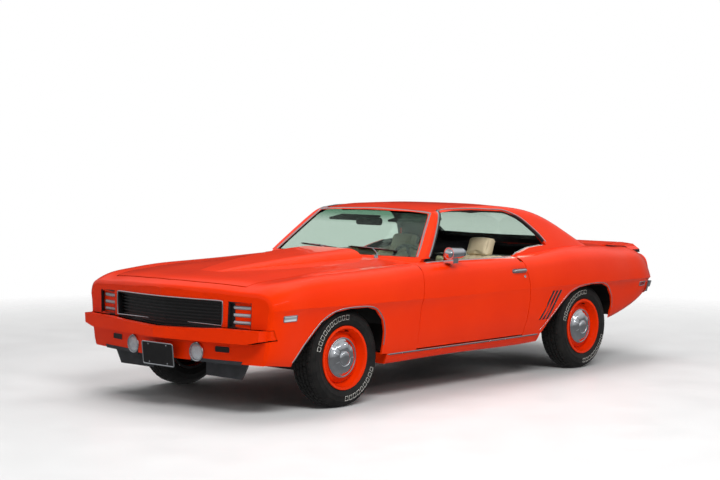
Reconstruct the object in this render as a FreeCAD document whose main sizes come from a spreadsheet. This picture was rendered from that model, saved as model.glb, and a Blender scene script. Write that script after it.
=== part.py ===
"""Two-door hardtop muscle car, built from named panels, running gear and cabin pieces.

Frame: the car stands on z = 0, its nose points to -Y, its left side to +X, and the origin
is on the floor under the middle of its overall box. Lengths are millimetres.
"""

import FreeCAD
import Part
import Sketcher
import math
import os

from FreeCAD import Vector

doc = FreeCAD.newDocument("muscle_car")

# Driving dimensions: name, value
SIZES = [
    ("car_length", 4724.0),
    ("car_width", 1880.0),
    ("car_height", 1298.0),
    ("wheelbase", 2743.0),
    ("front_overhang", 936.0),
    ("track", 1512.0),
    ("skin", 14.0),
    ("roof_wall", 34.0),
    ("panel_gap", 6.5),
    ("bezel", 9.0),
    ("door_inner_step", 30.0),
    ("hood_gap", 12.0),
    ("cut_overrun", 60.0),
    ("nose_roll", 42.0),
    ("tail_roll", 30.0),
    ("nose_bow", 138.0),
    ("tail_bow", 52.0),
    ("nose_setback", 212.0),
    ("tail_setback", 108.0),
    ("tail_lean", 80.0),
    ("glass", 6.0),
    ("cowl_depth", 44.0),
    ("bumper_reach", 68.0),
    ("bumper_wrap", 12.0),
    ("column_tilt", 20.0),
    ("tyre_diameter", 656.0),
    ("tyre_width", 206.0),
    ("axle_height", 328.0),
]


def make_sheet():
    """The spreadsheet holds every driving dimension under its alias."""
    sheet = doc.addObject("Spreadsheet::Sheet", "Sizes")
    for row, (alias, value) in enumerate(SIZES, start=1):
        sheet.set(f"A{row}", alias)
        sheet.set(f"B{row}", str(value))
        sheet.setAlias(f"B{row}", alias)
    doc.recompute()
    return sheet


sheet = make_sheet()


def size(alias):
    return float(sheet.get(alias))


length = size("car_length")
half_width = size("car_width") / 2
height = size("car_height")
front = -length / 2
over = size("cut_overrun")


class Profile:
    """A natural cubic spline through (share along, share across) pairs."""

    def __init__(self, pairs):
        self.a = [p[0] for p in pairs]
        self.b = [p[1] for p in pairs]
        n = len(pairs)
        gap = [self.a[i + 1] - self.a[i] for i in range(n - 1)]
        slope = [(self.b[i + 1] - self.b[i]) / gap[i] for i in range(n - 1)]
        upper, right = [0.0] * n, [0.0] * n
        for i in range(1, n - 1):
            pivot = 2 * (gap[i - 1] + gap[i]) - gap[i - 1] * upper[i - 1]
            upper[i] = gap[i] / pivot
            right[i] = (6 * (slope[i] - slope[i - 1]) - gap[i - 1] * right[i - 1]) / pivot
        self.c = [0.0] * n
        for i in range(n - 2, 0, -1):
            self.c[i] = right[i] - upper[i] * self.c[i + 1]
        self.gap, self.slope = gap, slope

    def __call__(self, at):
        at = min(max(at, self.a[0]), self.a[-1])
        i = max(k for k in range(len(self.a) - 1) if self.a[k] <= at)
        t, g = at - self.a[i], self.gap[i]
        c0, c1 = self.c[i], self.c[i + 1]
        return self.b[i] + t * (self.slope[i] - g * (2 * c0 + c1) / 6) + t * t * c0 / 2 + t ** 3 * (c1 - c0) / (6 * g)


# Lines of the lower body along the car: (share of length, share of half width or of height)
CREASE_WIDTH_SHARES = Profile([(0.0, 0.950), (0.03, 0.966), (0.10, 0.986), (0.198, 1.0), (0.33, 0.988), (0.48, 0.979),
                               (0.63, 0.984), (0.779, 1.0), (0.88, 0.986), (0.95, 0.955), (1.0, 0.915)])
CREASE_HEIGHT_SHARES = Profile([(0.0, 0.532), (0.07, 0.532), (0.198, 0.528), (0.40, 0.520), (0.60, 0.521),
                                (0.80, 0.519), (1.0, 0.512)])
SHOULDER_WIDTH_SHARES = Profile([(0.0, 0.865), (0.05, 0.885), (0.198, 0.905), (0.38, 0.903), (0.60, 0.903),
                                 (0.72, 0.885), (0.80, 0.870), (0.93, 0.850), (1.0, 0.820)])
SHOULDER_HEIGHT_SHARES = Profile([(0.0, 0.583), (0.04, 0.608), (0.08, 0.644), (0.14, 0.671), (0.20, 0.679),
                                  (0.30, 0.687), (0.38, 0.697), (0.50, 0.696), (0.61, 0.695), (0.68, 0.707),
                                  (0.74, 0.725), (0.80, 0.727), (0.87, 0.716), (0.93, 0.699), (0.97, 0.682),
                                  (1.0, 0.668)])
CROWN_HEIGHT_SHARES = Profile([(0.0, 0.597), (0.04, 0.627), (0.08, 0.661), (0.14, 0.686), (0.20, 0.700),
                               (0.28, 0.713), (0.36, 0.723), (0.40, 0.725), (0.50, 0.727), (0.61, 0.729),
                               (0.75, 0.740), (0.82, 0.738), (0.90, 0.724), (0.95, 0.706), (1.0, 0.688)])
TUCK_SHARES = Profile([(0.0, 0.012), (0.08, 0.026), (0.198, 0.042), (0.30, 0.036), (0.42, 0.020), (0.55, 0.010),
                       (0.66, 0.016), (0.74, 0.034), (0.80, 0.042), (0.90, 0.038), (1.0, 0.030)])
SILL_HEIGHT_SHARES = Profile([(0.0, 0.267), (0.07, 0.255), (0.16, 0.209), (0.25, 0.194), (0.45, 0.200),
                              (0.69, 0.210), (0.76, 0.239), (0.83, 0.273), (0.90, 0.318), (0.95, 0.379),
                              (1.0, 0.458)])
SILL_WIDTH_SHARES = Profile([(0.0, 0.880), (0.10, 0.905), (0.25, 0.900), (0.50, 0.892), (0.69, 0.895),
                             (0.80, 0.905), (0.92, 0.875), (1.0, 0.820)])

# Across the car: (share of the way in from the crease to the shoulder, share of the way up)
SIDE_SHARES = [(0.0, 0.0), (0.06, 0.28), (0.20, 0.55), (0.48, 0.80), (1.0, 0.965)]
# (share of the shoulder's half width, share of the crown's rise)
TOP_SHARES = [(0.84, 0.34), (0.62, 0.66), (0.32, 0.91), (0.0, 1.0)]
# Below the crease: (share of the tuck, share of the sill's inset, share of the way down)
UNDER_SHARES = [(0.0, 0.0, 0.0), (0.50, 0.0, 0.10), (0.86, 0.0, 0.25), (1.0, 0.08, 0.48), (1.0, 0.36, 0.74),
                (1.0, 0.62, 0.90), (1.0, 1.0, 1.0)]
STATION_SHARES = [0.10, 0.15, 0.20, 0.26, 0.32, 0.38, 0.44, 0.50, 0.56, 0.62, 0.68, 0.74, 0.80, 0.86, 0.91]
ROLL_SHARES = [0.0, 0.18, 0.50, 1.0]


def stations():
    """Places along the side of the car, each with how far its section is drawn in by the rolled ends."""
    nose, tail = front + size("nose_setback"), -front - size("tail_setback")
    rows = []
    for share in ROLL_SHARES:
        rows.append((nose + share * size("nose_roll"), size("nose_roll") * roll(share)))
    for share in STATION_SHARES:
        rows.append((front + share * length, 0.0))
    for share in reversed(ROLL_SHARES):
        rows.append((tail - share * size("tail_roll"), size("tail_roll") * roll(share)))
    return rows


def roll(share):
    return 1 - math.sqrt(1 - (1 - share) ** 2)


def ease(share):
    share = min(max(share, 0.0), 1.0)
    return share * share * (3 - 2 * share)


NOSE_POWER, TAIL_POWER = 1.3, 1.8


def plan_bow(along, across):
    """How far a point moves towards the near end of the car, so that nose and tail are bowed in plan."""
    reach = abs(across) / half_width
    nose = size("nose_bow") * ease((0.20 - along) / 0.155) * (1 - reach ** NOSE_POWER)
    tail = size("tail_bow") * ease((along - 0.84) / 0.12) * (1 - reach ** TAIL_POWER)
    return tail - nose


def section(at, drawn_in):
    """Upper points, from the left crease over the top to the right one, and lower points of the left side."""
    along = (at - front) / length
    crease_x = CREASE_WIDTH_SHARES(along) * half_width
    crease_z = CREASE_HEIGHT_SHARES(along) * height
    shoulder_x = SHOULDER_WIDTH_SHARES(along) * half_width
    shoulder_z = SHOULDER_HEIGHT_SHARES(along) * height
    crown_z = CROWN_HEIGHT_SHARES(along) * height
    lean = size("tail_lean") * ease((along - 0.86) / 0.12)

    def place(x, z, out_x, out_z):
        back = lean * (z - crease_z) / (shoulder_z - crease_z) if z > crease_z else 0.0
        x, z = x - drawn_in * out_x, z - drawn_in * out_z
        return Vector(x, at + plan_bow(along, x) - back, z)

    left = []
    for inset, rise in SIDE_SHARES:
        left.append(place(crease_x + inset * (shoulder_x - crease_x), crease_z + rise * (shoulder_z - crease_z),
                          1 - inset, rise))
    start = crease_z + SIDE_SHARES[-1][1] * (shoulder_z - crease_z)
    for inset, rise in TOP_SHARES:
        left.append(place(inset * shoulder_x, start + rise * (crown_z - start), 0.0, 1.0))
    right = [Vector(-p.x, p.y, p.z) for p in reversed(left[:-1])]
    tuck = TUCK_SHARES(along) * half_width
    sill_x, sill_z = SILL_WIDTH_SHARES(along) * half_width, SILL_HEIGHT_SHARES(along) * height
    under = []
    for tucked, inset, down in UNDER_SHARES:
        x = crease_x - tuck * tucked
        under.append(place(x + inset * (sill_x - x), crease_z + down * (sill_z - crease_z), 1.0, 0.0))
    return left + right, under


def tensor_surface(rows, across, along):
    """The cubic surface through a grid of points: rows[i][k] at parameters along[i], across[k]."""
    lines = []
    for row in rows:
        curve = Part.BSplineCurve()
        curve.interpolate(Points=row, Parameters=across)
        lines.append(curve)
    columns = []
    for k in range(lines[0].NbPoles):
        curve = Part.BSplineCurve()
        curve.interpolate(Points=[line.getPole(k + 1) for line in lines], Parameters=along)
        columns.append(curve)
    surface = Part.BSplineSurface()
    surface.buildFromPolesMultsKnots([c.getPoles() for c in columns], lines[0].getMultiplicities(),
                                     columns[0].getMultiplicities(), lines[0].getKnots(), columns[0].getKnots(),
                                     False, False, lines[0].Degree, columns[0].Degree)
    return surface


def spans(points):
    """Parameters from 0 to 1 in proportion to the distance between points."""
    run = [0.0]
    for a, b in zip(points, points[1:]):
        run.append(run[-1] + a.distanceToPoint(b))
    return [r / run[-1] for r in run]


def ruled(edge_a, edge_b):
    return Part.makeRuledSurface(edge_a, edge_b)


def solid_of(faces):
    shell = Part.Shell(faces)
    shell.sewShape()
    solid = Part.Solid(shell)
    if solid.Volume < 0:
        solid.reverse()
    return solid


def iso_edge(surface, along_u, at):
    """A boundary of a surface, as an edge."""
    curve = surface.vIso(at) if along_u else surface.uIso(at)
    return curve.toShape()


def body_solid(inset, drop):
    """The lower body as one closed volume, its walls moved in by inset and its foot down by drop."""
    places = stations()
    rows = [section(at, drawn_in + inset) for at, drawn_in in places]
    along = spans([Vector(0, at, 0) for at, drawn_in in places])
    middle = rows[len(rows) // 2]
    over_top, under = spans(middle[0]), spans(middle[1])
    for row in rows:
        row[1][-1] = row[1][-1] - Vector(0, 0, drop)
    top = tensor_surface([r[0] for r in rows], over_top, along)
    side = tensor_surface([r[1] for r in rows], under, along)
    return closed_tube(top, side)


def closed_tube(top, side):
    """Closes the top and side surfaces with a foot and with straight extensions that end in flat caps."""
    mirror = FreeCAD.Matrix()
    mirror.scale(-1, 1, 1)
    faces = [top.toShape(), side.toShape()]
    other = side.copy()
    other.transform(mirror)
    faces.append(other.toShape())
    left_foot, right_foot = side.uIso(1.0).toShape(), other.uIso(1.0).toShape()
    faces.append(ruled(left_foot, right_foot))
    for v, y in ((0.0, front - 4 * over), (1.0, -front + 4 * over)):
        ends = [top.vIso(v), side.vIso(v), other.vIso(v)]
        far = []
        for curve in ends:
            flat = curve.copy()
            for k in range(1, flat.NbPoles + 1):
                pole = flat.getPole(k)
                flat.setPole(k, Vector(pole.x, y, pole.z))
            far.append(flat)
            faces.append(ruled(curve.toShape(), flat.toShape()))
        foot = Part.makeLine(ends[1].value(1.0), ends[2].value(1.0))
        far_foot = Part.makeLine(far[1].value(1.0), far[2].value(1.0))
        faces.append(ruled(foot, far_foot))
        loop = Part.Wire(Part.__sortEdges__([c.toShape() for c in far] + [far_foot]))
        faces.append(Part.Face(loop))
    return solid_of(faces)


# The greenhouse: stations as shares of length from the nose, crown heights as shares of height
ROOF_HEIGHT_SHARES = Profile([(0.30, 0.900), (0.38, 0.930), (0.45, 0.969), (0.50, 0.990), (0.54, 0.999), (0.57, 0.999),
                              (0.62, 0.996), (0.65, 0.987), (0.686, 0.970), (0.73, 0.924), (0.775, 0.840),
                              (0.81, 0.768), (0.84, 0.727), (0.87, 0.704), (0.90, 0.690)])
ROOF_STATION_SHARES = [0.30, 0.36, 0.41, 0.45, 0.49, 0.53, 0.57, 0.61, 0.65, 0.69, 0.725, 0.76, 0.79, 0.82, 0.85, 0.90]
# Across the greenhouse: (share of the way up from foot to gutter, share of the bulge)
WALL_SHARES = [(0.0, 0.0), (0.30, 0.3), (0.55, 1.0), (0.80, 0.8), (0.95, 0.2)]
# (share of the gutter's half width, share of the gutter's drop below the crown)
ROOF_SHARES = [(0.965, 0.66), (0.88, 0.38), (0.60, 0.12), (0.30, 0.02), (0.0, 0.0)]
FOOT_HEIGHT_SHARE = 0.600
FOOT_WIDTH_SHARE = 0.884
TUMBLE_SHARE = 0.49
GUTTER_DROP_SHARE = 0.025
BULGE_SHARE = 0.012
FLARE_SHARE = 0.045


def greenhouse_solid(inset):
    """The roof, its pillars' faces and the slope down to the boot as one closed tunnel."""
    rows = []
    for share in ROOF_STATION_SHARES:
        at = front + share * length
        foot_z, crown = FOOT_HEIGHT_SHARE * height, ROOF_HEIGHT_SHARES(share) * height - inset
        gutter = crown - GUTTER_DROP_SHARE * height
        flare = FLARE_SHARE * half_width * ease((share - 0.62) / 0.16)
        left = []
        for up, bulge in WALL_SHARES:
            z = foot_z + up * (gutter - foot_z)
            x = (FOOT_WIDTH_SHARE + BULGE_SHARE * bulge) * half_width - TUMBLE_SHARE * (z - foot_z) - inset
            left.append(Vector(x + flare * (1 - up) ** 2, at, z))
        gutter_x = FOOT_WIDTH_SHARE * half_width - TUMBLE_SHARE * (gutter - foot_z) - inset
        for across, drop in ROOF_SHARES:
            left.append(Vector(across * gutter_x, at, crown - drop * GUTTER_DROP_SHARE * height))
        rows.append(left + [Vector(-p.x, p.y, p.z) for p in reversed(left[:-1])])
    along = spans([row[0] for row in rows])
    surface = tensor_surface(rows, spans(rows[len(rows) // 2]), along)
    feet = [surface.uIso(0.0).toShape(), surface.uIso(1.0).toShape()]
    faces = [surface.toShape(), ruled(feet[0], feet[1])]
    for v in (0.0, 1.0):
        curve = surface.vIso(v)
        faces.append(Part.Face(Part.Wire([curve.toShape(), Part.makeLine(curve.value(1.0), curve.value(0.0))])))
    return solid_of(faces)


def windshield_front(setback):
    """Everything in front of the raked and bowed windshield plane, moved back by setback."""
    run, bow = 0.0730 * length, 0.1170 * half_width
    base_z, top_z = 0.722 * height, 0.966 * height
    lines = []
    for share in (-0.6, 1.35):
        z = base_z + share * (top_z - base_z)
        y = front + 0.3673 * length + share * run * 1.1 + setback
        wide = half_width * 0.95
        points = [Vector(side * wide, y + bow * 1.35 * (side * side), z) for side in (-1.0, -0.6, -0.3, 0.0, 0.3, 0.6, 1.0)]
        curve = Part.BSplineCurve()
        curve.interpolate(points)
        lines.append(curve.toShape())
    return ruled(lines[0], lines[1]).extrude(Vector(0, -half_width * 1.6, 0))


def side_prism(points, x0, x1):
    """A polygon of (share of length from the nose, share of height) pairs, run across from x0 to x1."""
    corners = [Vector(x0, front + a * length, b * height) for a, b in points]
    return Part.Face(Part.makePolygon(corners + [corners[0]])).extrude(Vector(x1 - x0, 0, 0))


def plan_prism(points, z0, z1):
    """A polygon of (share of half width, share of length from the nose) pairs, run up from z0 to z1."""
    corners = [Vector(a * half_width, front + b * length, z0) for a, b in points]
    return Part.Face(Part.makePolygon(corners + [corners[0]])).extrude(Vector(0, 0, z1 - z0))


def front_prism(points, y0, y1):
    """A polygon of (share of half width, share of height) pairs, run along from y0 to y1."""
    corners = [Vector(a * half_width, y0, b * height) for a, b in points]
    return Part.Face(Part.makePolygon(corners + [corners[0]])).extrude(Vector(0, y1 - y0, 0))


def mirrored(shape):
    return shape.mirror(Vector(0, 0, 0), Vector(1, 0, 0))


def largest(shape):
    """The biggest solid of a shape, without the slivers that a cut leaves beside it."""
    return max(shape.Solids, key=lambda item: item.Volume)


def block(x0, x1, y0, y1, z0, z1):
    return Part.makeBox(x1 - x0, y1 - y0, z1 - z0, Vector(x0, y0, z0))


nodes = []


def keep(name, shape):
    """A free-form panel, which no sketch or primitive describes, kept as a document object."""
    item = doc.addObject("Part::Feature", name)
    item.Shape = shape
    item.Label = name
    nodes.append(item)
    return item


PLAN_SHARES = [0.0, 0.10, 0.22, 0.36, 0.50, 0.64, 0.78, 0.90, 1.0, 1.10]


def plan_limit(set_in):
    """A block between the nose line and the tail line, each moved in by set_in."""
    nose, tail = front + size("nose_setback"), -front - size("tail_setback")
    nose_half = [(a, nose - size("nose_bow") * (1 - a ** NOSE_POWER) + set_in) for a in PLAN_SHARES]
    tail_half = [(a, tail + size("tail_bow") * (1 - a ** TAIL_POWER) - set_in) for a in PLAN_SHARES]
    outline = nose_half + list(reversed(tail_half))
    outline = outline + [(-a, b) for a, b in tail_half[1:]] + [(-a, b) for a, b in reversed(nose_half[1:])]
    return plan_prism([(a, (b - front) / length) for a, b in outline], 0, height * 1.2)


def make_shell():
    wall = size("skin")
    outer_body, inner_body = body_solid(0, 0), body_solid(wall, wall * 8)
    outer_top = greenhouse_solid(0).cut(windshield_front(0))
    inner_top = greenhouse_solid(size("roof_wall")).cut(windshield_front(size("roof_wall")))
    outer = outer_body.fuse(outer_top)
    nose_and_tail, inner_ends = plan_limit(wall / 5), plan_limit(wall)
    outer_body = outer_body.common(nose_and_tail)
    inner_body = inner_body.common(inner_ends)
    inner = inner_body.fuse(inner_top)
    outer = outer.common(nose_and_tail)
    return outer, inner, outer.cut(inner), outer_body, inner_top


# Side lines, as (share of length from the nose, share of height)
DOOR_FRONT_SHARES = [(0.3645, 0.760), (0.3645, 0.721), (0.3571, 0.693), (0.3486, 0.511), (0.3459, 0.256)]
DOOR_REAR_SHARES = [(0.6016, 0.256), (0.6056, 0.316), (0.6111, 0.451), (0.6094, 0.548), (0.6050, 0.625),
                    (0.6029, 0.697), (0.6029, 0.760)]
FRONT_ARCH_SHARES = [(0.090, 0.100), (0.090, 0.262), (0.110, 0.350), (0.139, 0.453), (0.163, 0.498), (0.190, 0.510),
                     (0.228, 0.507), (0.248, 0.488), (0.2640, 0.435), (0.2695, 0.370), (0.2695, 0.300), (0.2680, 0.100)]
REAR_ARCH_SHARES = [(0.648, 0.100), (0.648, 0.232), (0.671, 0.328), (0.699, 0.414), (0.722, 0.472), (0.743, 0.499),
                    (0.778, 0.512), (0.810, 0.508), (0.832, 0.482), (0.847, 0.425), (0.852, 0.370), (0.851, 0.100)]
SIDE_WINDOW_SHARES = [(0.3850, 0.680), (0.4030, 0.7215), (0.4690, 0.960), (0.500, 0.9695), (0.545, 0.9695),
                      (0.6236, 0.9550), (0.650, 0.926), (0.6647, 0.896), (0.690, 0.815), (0.7007, 0.752),
                      (0.6856, 0.750), (0.655, 0.742), (0.625, 0.718), (0.6037, 0.694), (0.600, 0.600), (0.3850, 0.600)]
# Plan lines, as (share of half width, share of length from the nose)
HOOD_SHARES = [(0.0, 0.0330), (0.25, 0.0375), (0.50, 0.0445), (0.680, 0.0510), (0.700, 0.120), (0.734, 0.3630),
               (0.500, 0.3552), (0.250, 0.3502), (0.0, 0.3485)]
BACK_GLASS_SHARES = [(0.0, 0.700), (0.45, 0.701), (0.610, 0.708), (0.665, 0.795), (0.40, 0.801), (0.0, 0.803)]
DECK_SHARES = [(0.0, 0.838), (0.30, 0.8375), (0.580, 0.836), (0.596, 0.842), (0.575, 0.960), (0.0, 0.967)]
# Front-view lines, as (share of half width, share of height)
WINDSHIELD_SHARES = [(0.0, 0.7290), (0.40, 0.7285), (0.735, 0.7270), (0.650, 0.850), (0.583, 0.942), (0.565, 0.955),
                     (0.40, 0.9640), (0.0, 0.9680)]
# The low spoiler across the tail, as (share of length, share of height), and the front view of its fixed ends
SPOILER_SHARES = [(0.937, 0.670), (0.937, 0.7115), (0.952, 0.7175), (0.968, 0.7245), (0.9765, 0.7265), (0.9765, 0.7185),
                  (0.967, 0.708), (0.967, 0.670)]
SPOILER_END_SHARES = [(0.560, 0.660), (0.560, 0.740), (0.640, 0.7260), (0.740, 0.7190), (0.800, 0.7080), (0.840, 0.6900),
                      (0.845, 0.660)]
GRILLE_SHARES = [(0.0, 0.4200), (0.40, 0.4280), (0.545, 0.4350), (0.556, 0.5660), (0.30, 0.5670), (0.0, 0.5680)]
BUMPER_ZONE_SHARES = [(0.0, 0.362), (0.80, 0.362), (0.951, 0.3845), (0.951, 0.437), (0.0, 0.437)]
LAMP_SHARES = [(0.590, 0.4350), (0.792, 0.4400), (0.796, 0.5640), (0.600, 0.5660)]


def both_sides(half):
    """A half outline run up one side, closed by its mirror image."""
    return half + [(-a, b) for a, b in reversed(half) if a]


def shifted(points, along, up=0.0):
    return [(a + along / length, b + up / height) for a, b in points]


def widened(points, out, fore, aft):
    """A half plan outline grown by a gap at its side, its front edge and its rear edge."""
    middle = (points[0][1] + points[-1][1]) / 2
    side = 0.9 * max(a for a, b in points)
    grown = []
    for a, b in points:
        shift = -fore if b < middle else aft
        grown.append((a + out / half_width if a > side else a, b + shift / length))
    return grown


# The hood's raised middle: (share of the hood's length, share of half width or of height)
BULGE_WIDTH_SHARES = Profile([(0.0, 0.050), (0.15, 0.135), (0.40, 0.235), (0.70, 0.305), (1.0, 0.335)])
BULGE_RISE_SHARES = Profile([(0.0, -0.006), (0.15, 0.008), (0.40, 0.024), (0.70, 0.038), (1.0, 0.046)])
# Across the bulge: (share of its half width, share of its rise)
BULGE_SHARES = [(1.16, -0.30), (1.06, 0.06), (0.95, 0.58), (0.80, 0.90), (0.50, 0.98), (0.0, 1.0)]
BULGE_STATION_SHARES = [0.0, 0.10, 0.22, 0.38, 0.55, 0.75, 0.90, 1.05]


def hood_bulge():
    """The raised middle of the hood, from a narrow start near the nose to a wide open end at the windshield."""
    start, end = 0.075, 0.3485
    rows = []
    for share in BULGE_STATION_SHARES:
        along = start + share * (end - start)
        at = front + along * length
        crown = CROWN_HEIGHT_SHARES(along) * height
        wide, rise = BULGE_WIDTH_SHARES(share) * half_width, BULGE_RISE_SHARES(share) * height
        left = []
        for reach, up in BULGE_SHARES:
            fall = 0.30 * (reach * wide / half_width) ** 2 * 0.08 * height
            lift = rise * up if rise > 0 else rise
            left.append(Vector(reach * wide, at, crown - fall + lift - (0.012 * height if up < 0 else 0)))
        rows.append(left + [Vector(-p.x, p.y, p.z) for p in reversed(left[:-1])])
    along = spans([row[0] for row in rows])
    surface = tensor_surface(rows, spans(rows[-1]), along)
    return surface.toShape().extrude(Vector(0, 0, -size("skin")))


def make_panels():
    gap = size("panel_gap")
    outer, inner, shell, outer_body, inner_top = make_shell()
    left = block(0, half_width + over, front - over, -front + over, 0, height + over)
    wide, top = half_width + over, height + over
    half_shell = shell.common(left)

    door_front = [Vector(0, front + a * length, b * height) for a, b in DOOR_FRONT_SHARES]
    ahead = side_prism([(-0.01, 1.1), (DOOR_FRONT_SHARES[0][0], 1.1)] + DOOR_FRONT_SHARES[:-1]
                       + [(DOOR_FRONT_SHARES[-1][0], 0.0), (-0.01, 0.0)], 0, wide)
    ahead.translate(Vector(0, -gap, 0))
    behind = side_prism([(1.02, 0.0), (DOOR_REAR_SHARES[0][0], 0.0)] + DOOR_REAR_SHARES
                        + [(DOOR_REAR_SHARES[-1][0], 1.1), (1.02, 1.1)], 0, wide)
    behind.translate(Vector(0, gap, 0))
    front_arch = side_prism(FRONT_ARCH_SHARES, 0.5 * half_width, wide)
    rear_arch = side_prism(REAR_ARCH_SHARES, 0.5 * half_width, wide)
    side_window = side_prism(SIDE_WINDOW_SHARES, 0.45 * half_width, wide)
    hood_outline = plan_prism(both_sides(HOOD_SHARES), 0.3 * height, top)
    hood_hole = plan_prism(both_sides(widened(HOOD_SHARES, gap, size("hood_gap"), size("hood_gap") * 0.8)), 0.3 * height, top)
    deck_outline = plan_prism(both_sides(DECK_SHARES), 0.60 * height, top)
    deck_hole = plan_prism(both_sides(widened(DECK_SHARES, gap, gap, size("hood_gap") * 0.8)), 0.60 * height, top)
    back_glass = plan_prism(both_sides(BACK_GLASS_SHARES), 0.5 * height, top)
    windshield = front_prism(both_sides(WINDSHIELD_SHARES), -0.45 * length, -0.02 * length)
    grille = front_prism(both_sides(GRILLE_SHARES), -0.6 * length, -0.44 * length)
    lamp = front_prism(LAMP_SHARES, -0.6 * length, -0.43 * length)
    bumper_zone = front_prism(both_sides(BUMPER_ZONE_SHARES), front - over, front + 0.070 * length)
    nose_box = block(-0.80 * half_width, 0.80 * half_width, front - over, front + 0.0560 * length,
                     0.437 * height, top)
    valance_box = block(-wide, wide, front - over, front + 0.105 * length, 0.0, 0.362 * height)
    tail_box = block(-0.80 * half_width, 0.80 * half_width, front + 0.967 * length, -front + over,
                     0.485 * height, top)
    rear_bumper_zone = block(-wide, wide, front + 0.965 * length, -front + over, 0.415 * height, 0.485 * height)
    rear_valance_box = block(-wide, wide, front + 0.925 * length, -front + over, 0.0, 0.415 * height)
    sill_zone = block(0, wide, front + 0.2 * length, front + 0.8 * length, 0, 0.250 * height)
    sill_side = side_prism([(0.2800, 0.1), (0.2810, 0.250), (0.650, 0.250), (0.648, 0.1)], 0.762 * half_width, wide)

    hood = shell.common(hood_outline).common(block(-wide, wide, front, 0, 0.55 * height, top))
    keep("hood", hood.fuse(hood_bulge().cut(inner).common(hood_outline)))
    cowl_side = 0.7405 * half_width
    cowl_zone = plan_prism([(0.79, 0.3640), (0.79, 0.42), (-0.79, 0.42), (-0.79, 0.3640), (-0.79, 0.34), (0.79, 0.34)],
                           0.60 * height, 0.7215 * height)
    cowl_zone = cowl_zone.cut(block(cowl_side, wide, front, front + 0.3650 * length, 0, top))
    cowl_zone = cowl_zone.cut(block(-wide, -cowl_side, front, front + 0.3650 * length, 0, top))
    cowl = shell.common(cowl_zone).cut(hood_hole).common(windshield_front(size("cowl_depth")))
    keep("cowl_panel", largest(cowl))

    fender = half_shell.common(ahead).cut(hood_hole).cut(front_arch).cut(nose_box).cut(bumper_zone)
    fender = fender.cut(valance_box)
    fender = fender.cut(block(0, cowl_side, front + 0.3 * length, 0, 0, top))
    fender = fender.cut(sill_zone)
    keep("fender_left", fender)
    keep("fender_right", mirrored(fender))
    nose = shell.common(nose_box).cut(hood_hole).cut(grille).cut(lamp).cut(mirrored(lamp))
    keep("nose_panel", nose)
    valance = shell.common(valance_box).cut(side_arch_pair(front_arch))
    keep("front_valance", valance)

    roof_zone = block(-wide, wide, front + 0.33 * length, front + 0.80 * length, 0.930 * height, top)
    pillar_zone = block(-wide, wide, front + 0.33 * length, front + 0.60 * length, 0.7215 * height, top)
    roof = shell.common(roof_zone.fuse(pillar_zone)).cut(windshield).cut(side_window)
    roof = roof.cut(mirrored(side_window)).cut(back_glass)
    keep("roof_panel", largest(roof.cut(windshield_front(-size("glass") / 4))))

    quarter = half_shell.common(behind).cut(rear_arch).cut(side_window).cut(back_glass)
    quarter = quarter.cut(deck_hole).cut(roof_zone).cut(tail_box).cut(rear_bumper_zone).cut(rear_valance_box)
    quarter = quarter.cut(block(-1, 0.63 * half_width, front + 0.60 * length, -front + over, 0.60 * height, top))
    quarter = quarter.cut(sill_zone)
    spoiler_end = side_prism(SPOILER_SHARES, 0.5870 * half_width, 0.860 * half_width)
    spoiler_end = spoiler_end.common(front_prism(SPOILER_END_SHARES, 0.4 * length, -front)).cut(inner)
    quarter = quarter.fuse(spoiler_end)
    keep("quarter_left", quarter)
    keep("quarter_right", mirrored(quarter))
    shelf = shell.common(block(-0.63 * half_width, 0.63 * half_width, front + 0.69 * length, front + 0.967 * length,
                               0.60 * height, 0.930 * height)).cut(back_glass).cut(deck_hole)
    shelf = shelf.cut(spoiler_end).cut(mirrored(spoiler_end))
    keep("rear_deck_panel", largest(shelf))
    lid = shell.common(deck_outline).common(block(-wide, wide, 0, -front, 0.60 * height, top))
    keep("trunk_lid", lid)
    keep("tail_panel", shell.common(tail_box).cut(deck_hole))
    keep("rear_valance", shell.common(rear_valance_box))

    ahead_edge = [(a, b) for a, b in DOOR_FRONT_SHARES]
    door_side = side_prism(ahead_edge + DOOR_REAR_SHARES, 0, wide)
    step = size("door_inner_step")
    inner_half = side_prism(ahead_edge + shifted(DOOR_REAR_SHARES, -step), 0.802 * half_width, 0.929 * half_width)
    outer_half = door_side.common(block(0.929 * half_width, wide, front, -front, 0, top))
    door = outer_body.common(inner_half.fuse(outer_half))
    keep("door_left", door)
    keep("door_right", mirrored(door))
    sill = outer_body.common(sill_side).common(block(0, wide, front, -front, 0, 0.250 * height))
    keep("sill_left", sill)
    keep("sill_right", mirrored(sill))
    glass = size("glass")
    screen = windshield_front(14 + glass).cut(windshield_front(14)).common(windshield)
    keep("windshield", screen.common(outer))
    rear_screen = greenhouse_solid(8).cut(greenhouse_solid(8 + glass)).common(back_glass)
    keep("rear_window", rear_screen)
    make_face(grille, lamp, valance)
    return inner, outer_body


# Front-view outline of each bumper: (share of half width, share of height)
FRONT_BUMPER_SHARES = [(0.0, 0.366), (0.80, 0.3665), (0.946, 0.389), (0.946, 0.435), (0.56, 0.436), (0.40, 0.429),
                       (0.0, 0.421)]
REAR_BUMPER_SHARES = [(0.0, 0.415), (1.05, 0.415), (1.05, 0.485), (0.0, 0.485)]
TAIL_LAMP_SHARES = [(0.300, 0.540), (0.760, 0.548), (0.756, 0.622), (0.300, 0.622)]
AIR_DAM_SHARES = [(0.280, 0.176), (0.640, 0.176), (0.722, 0.275), (0.280, 0.275)]


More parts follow.
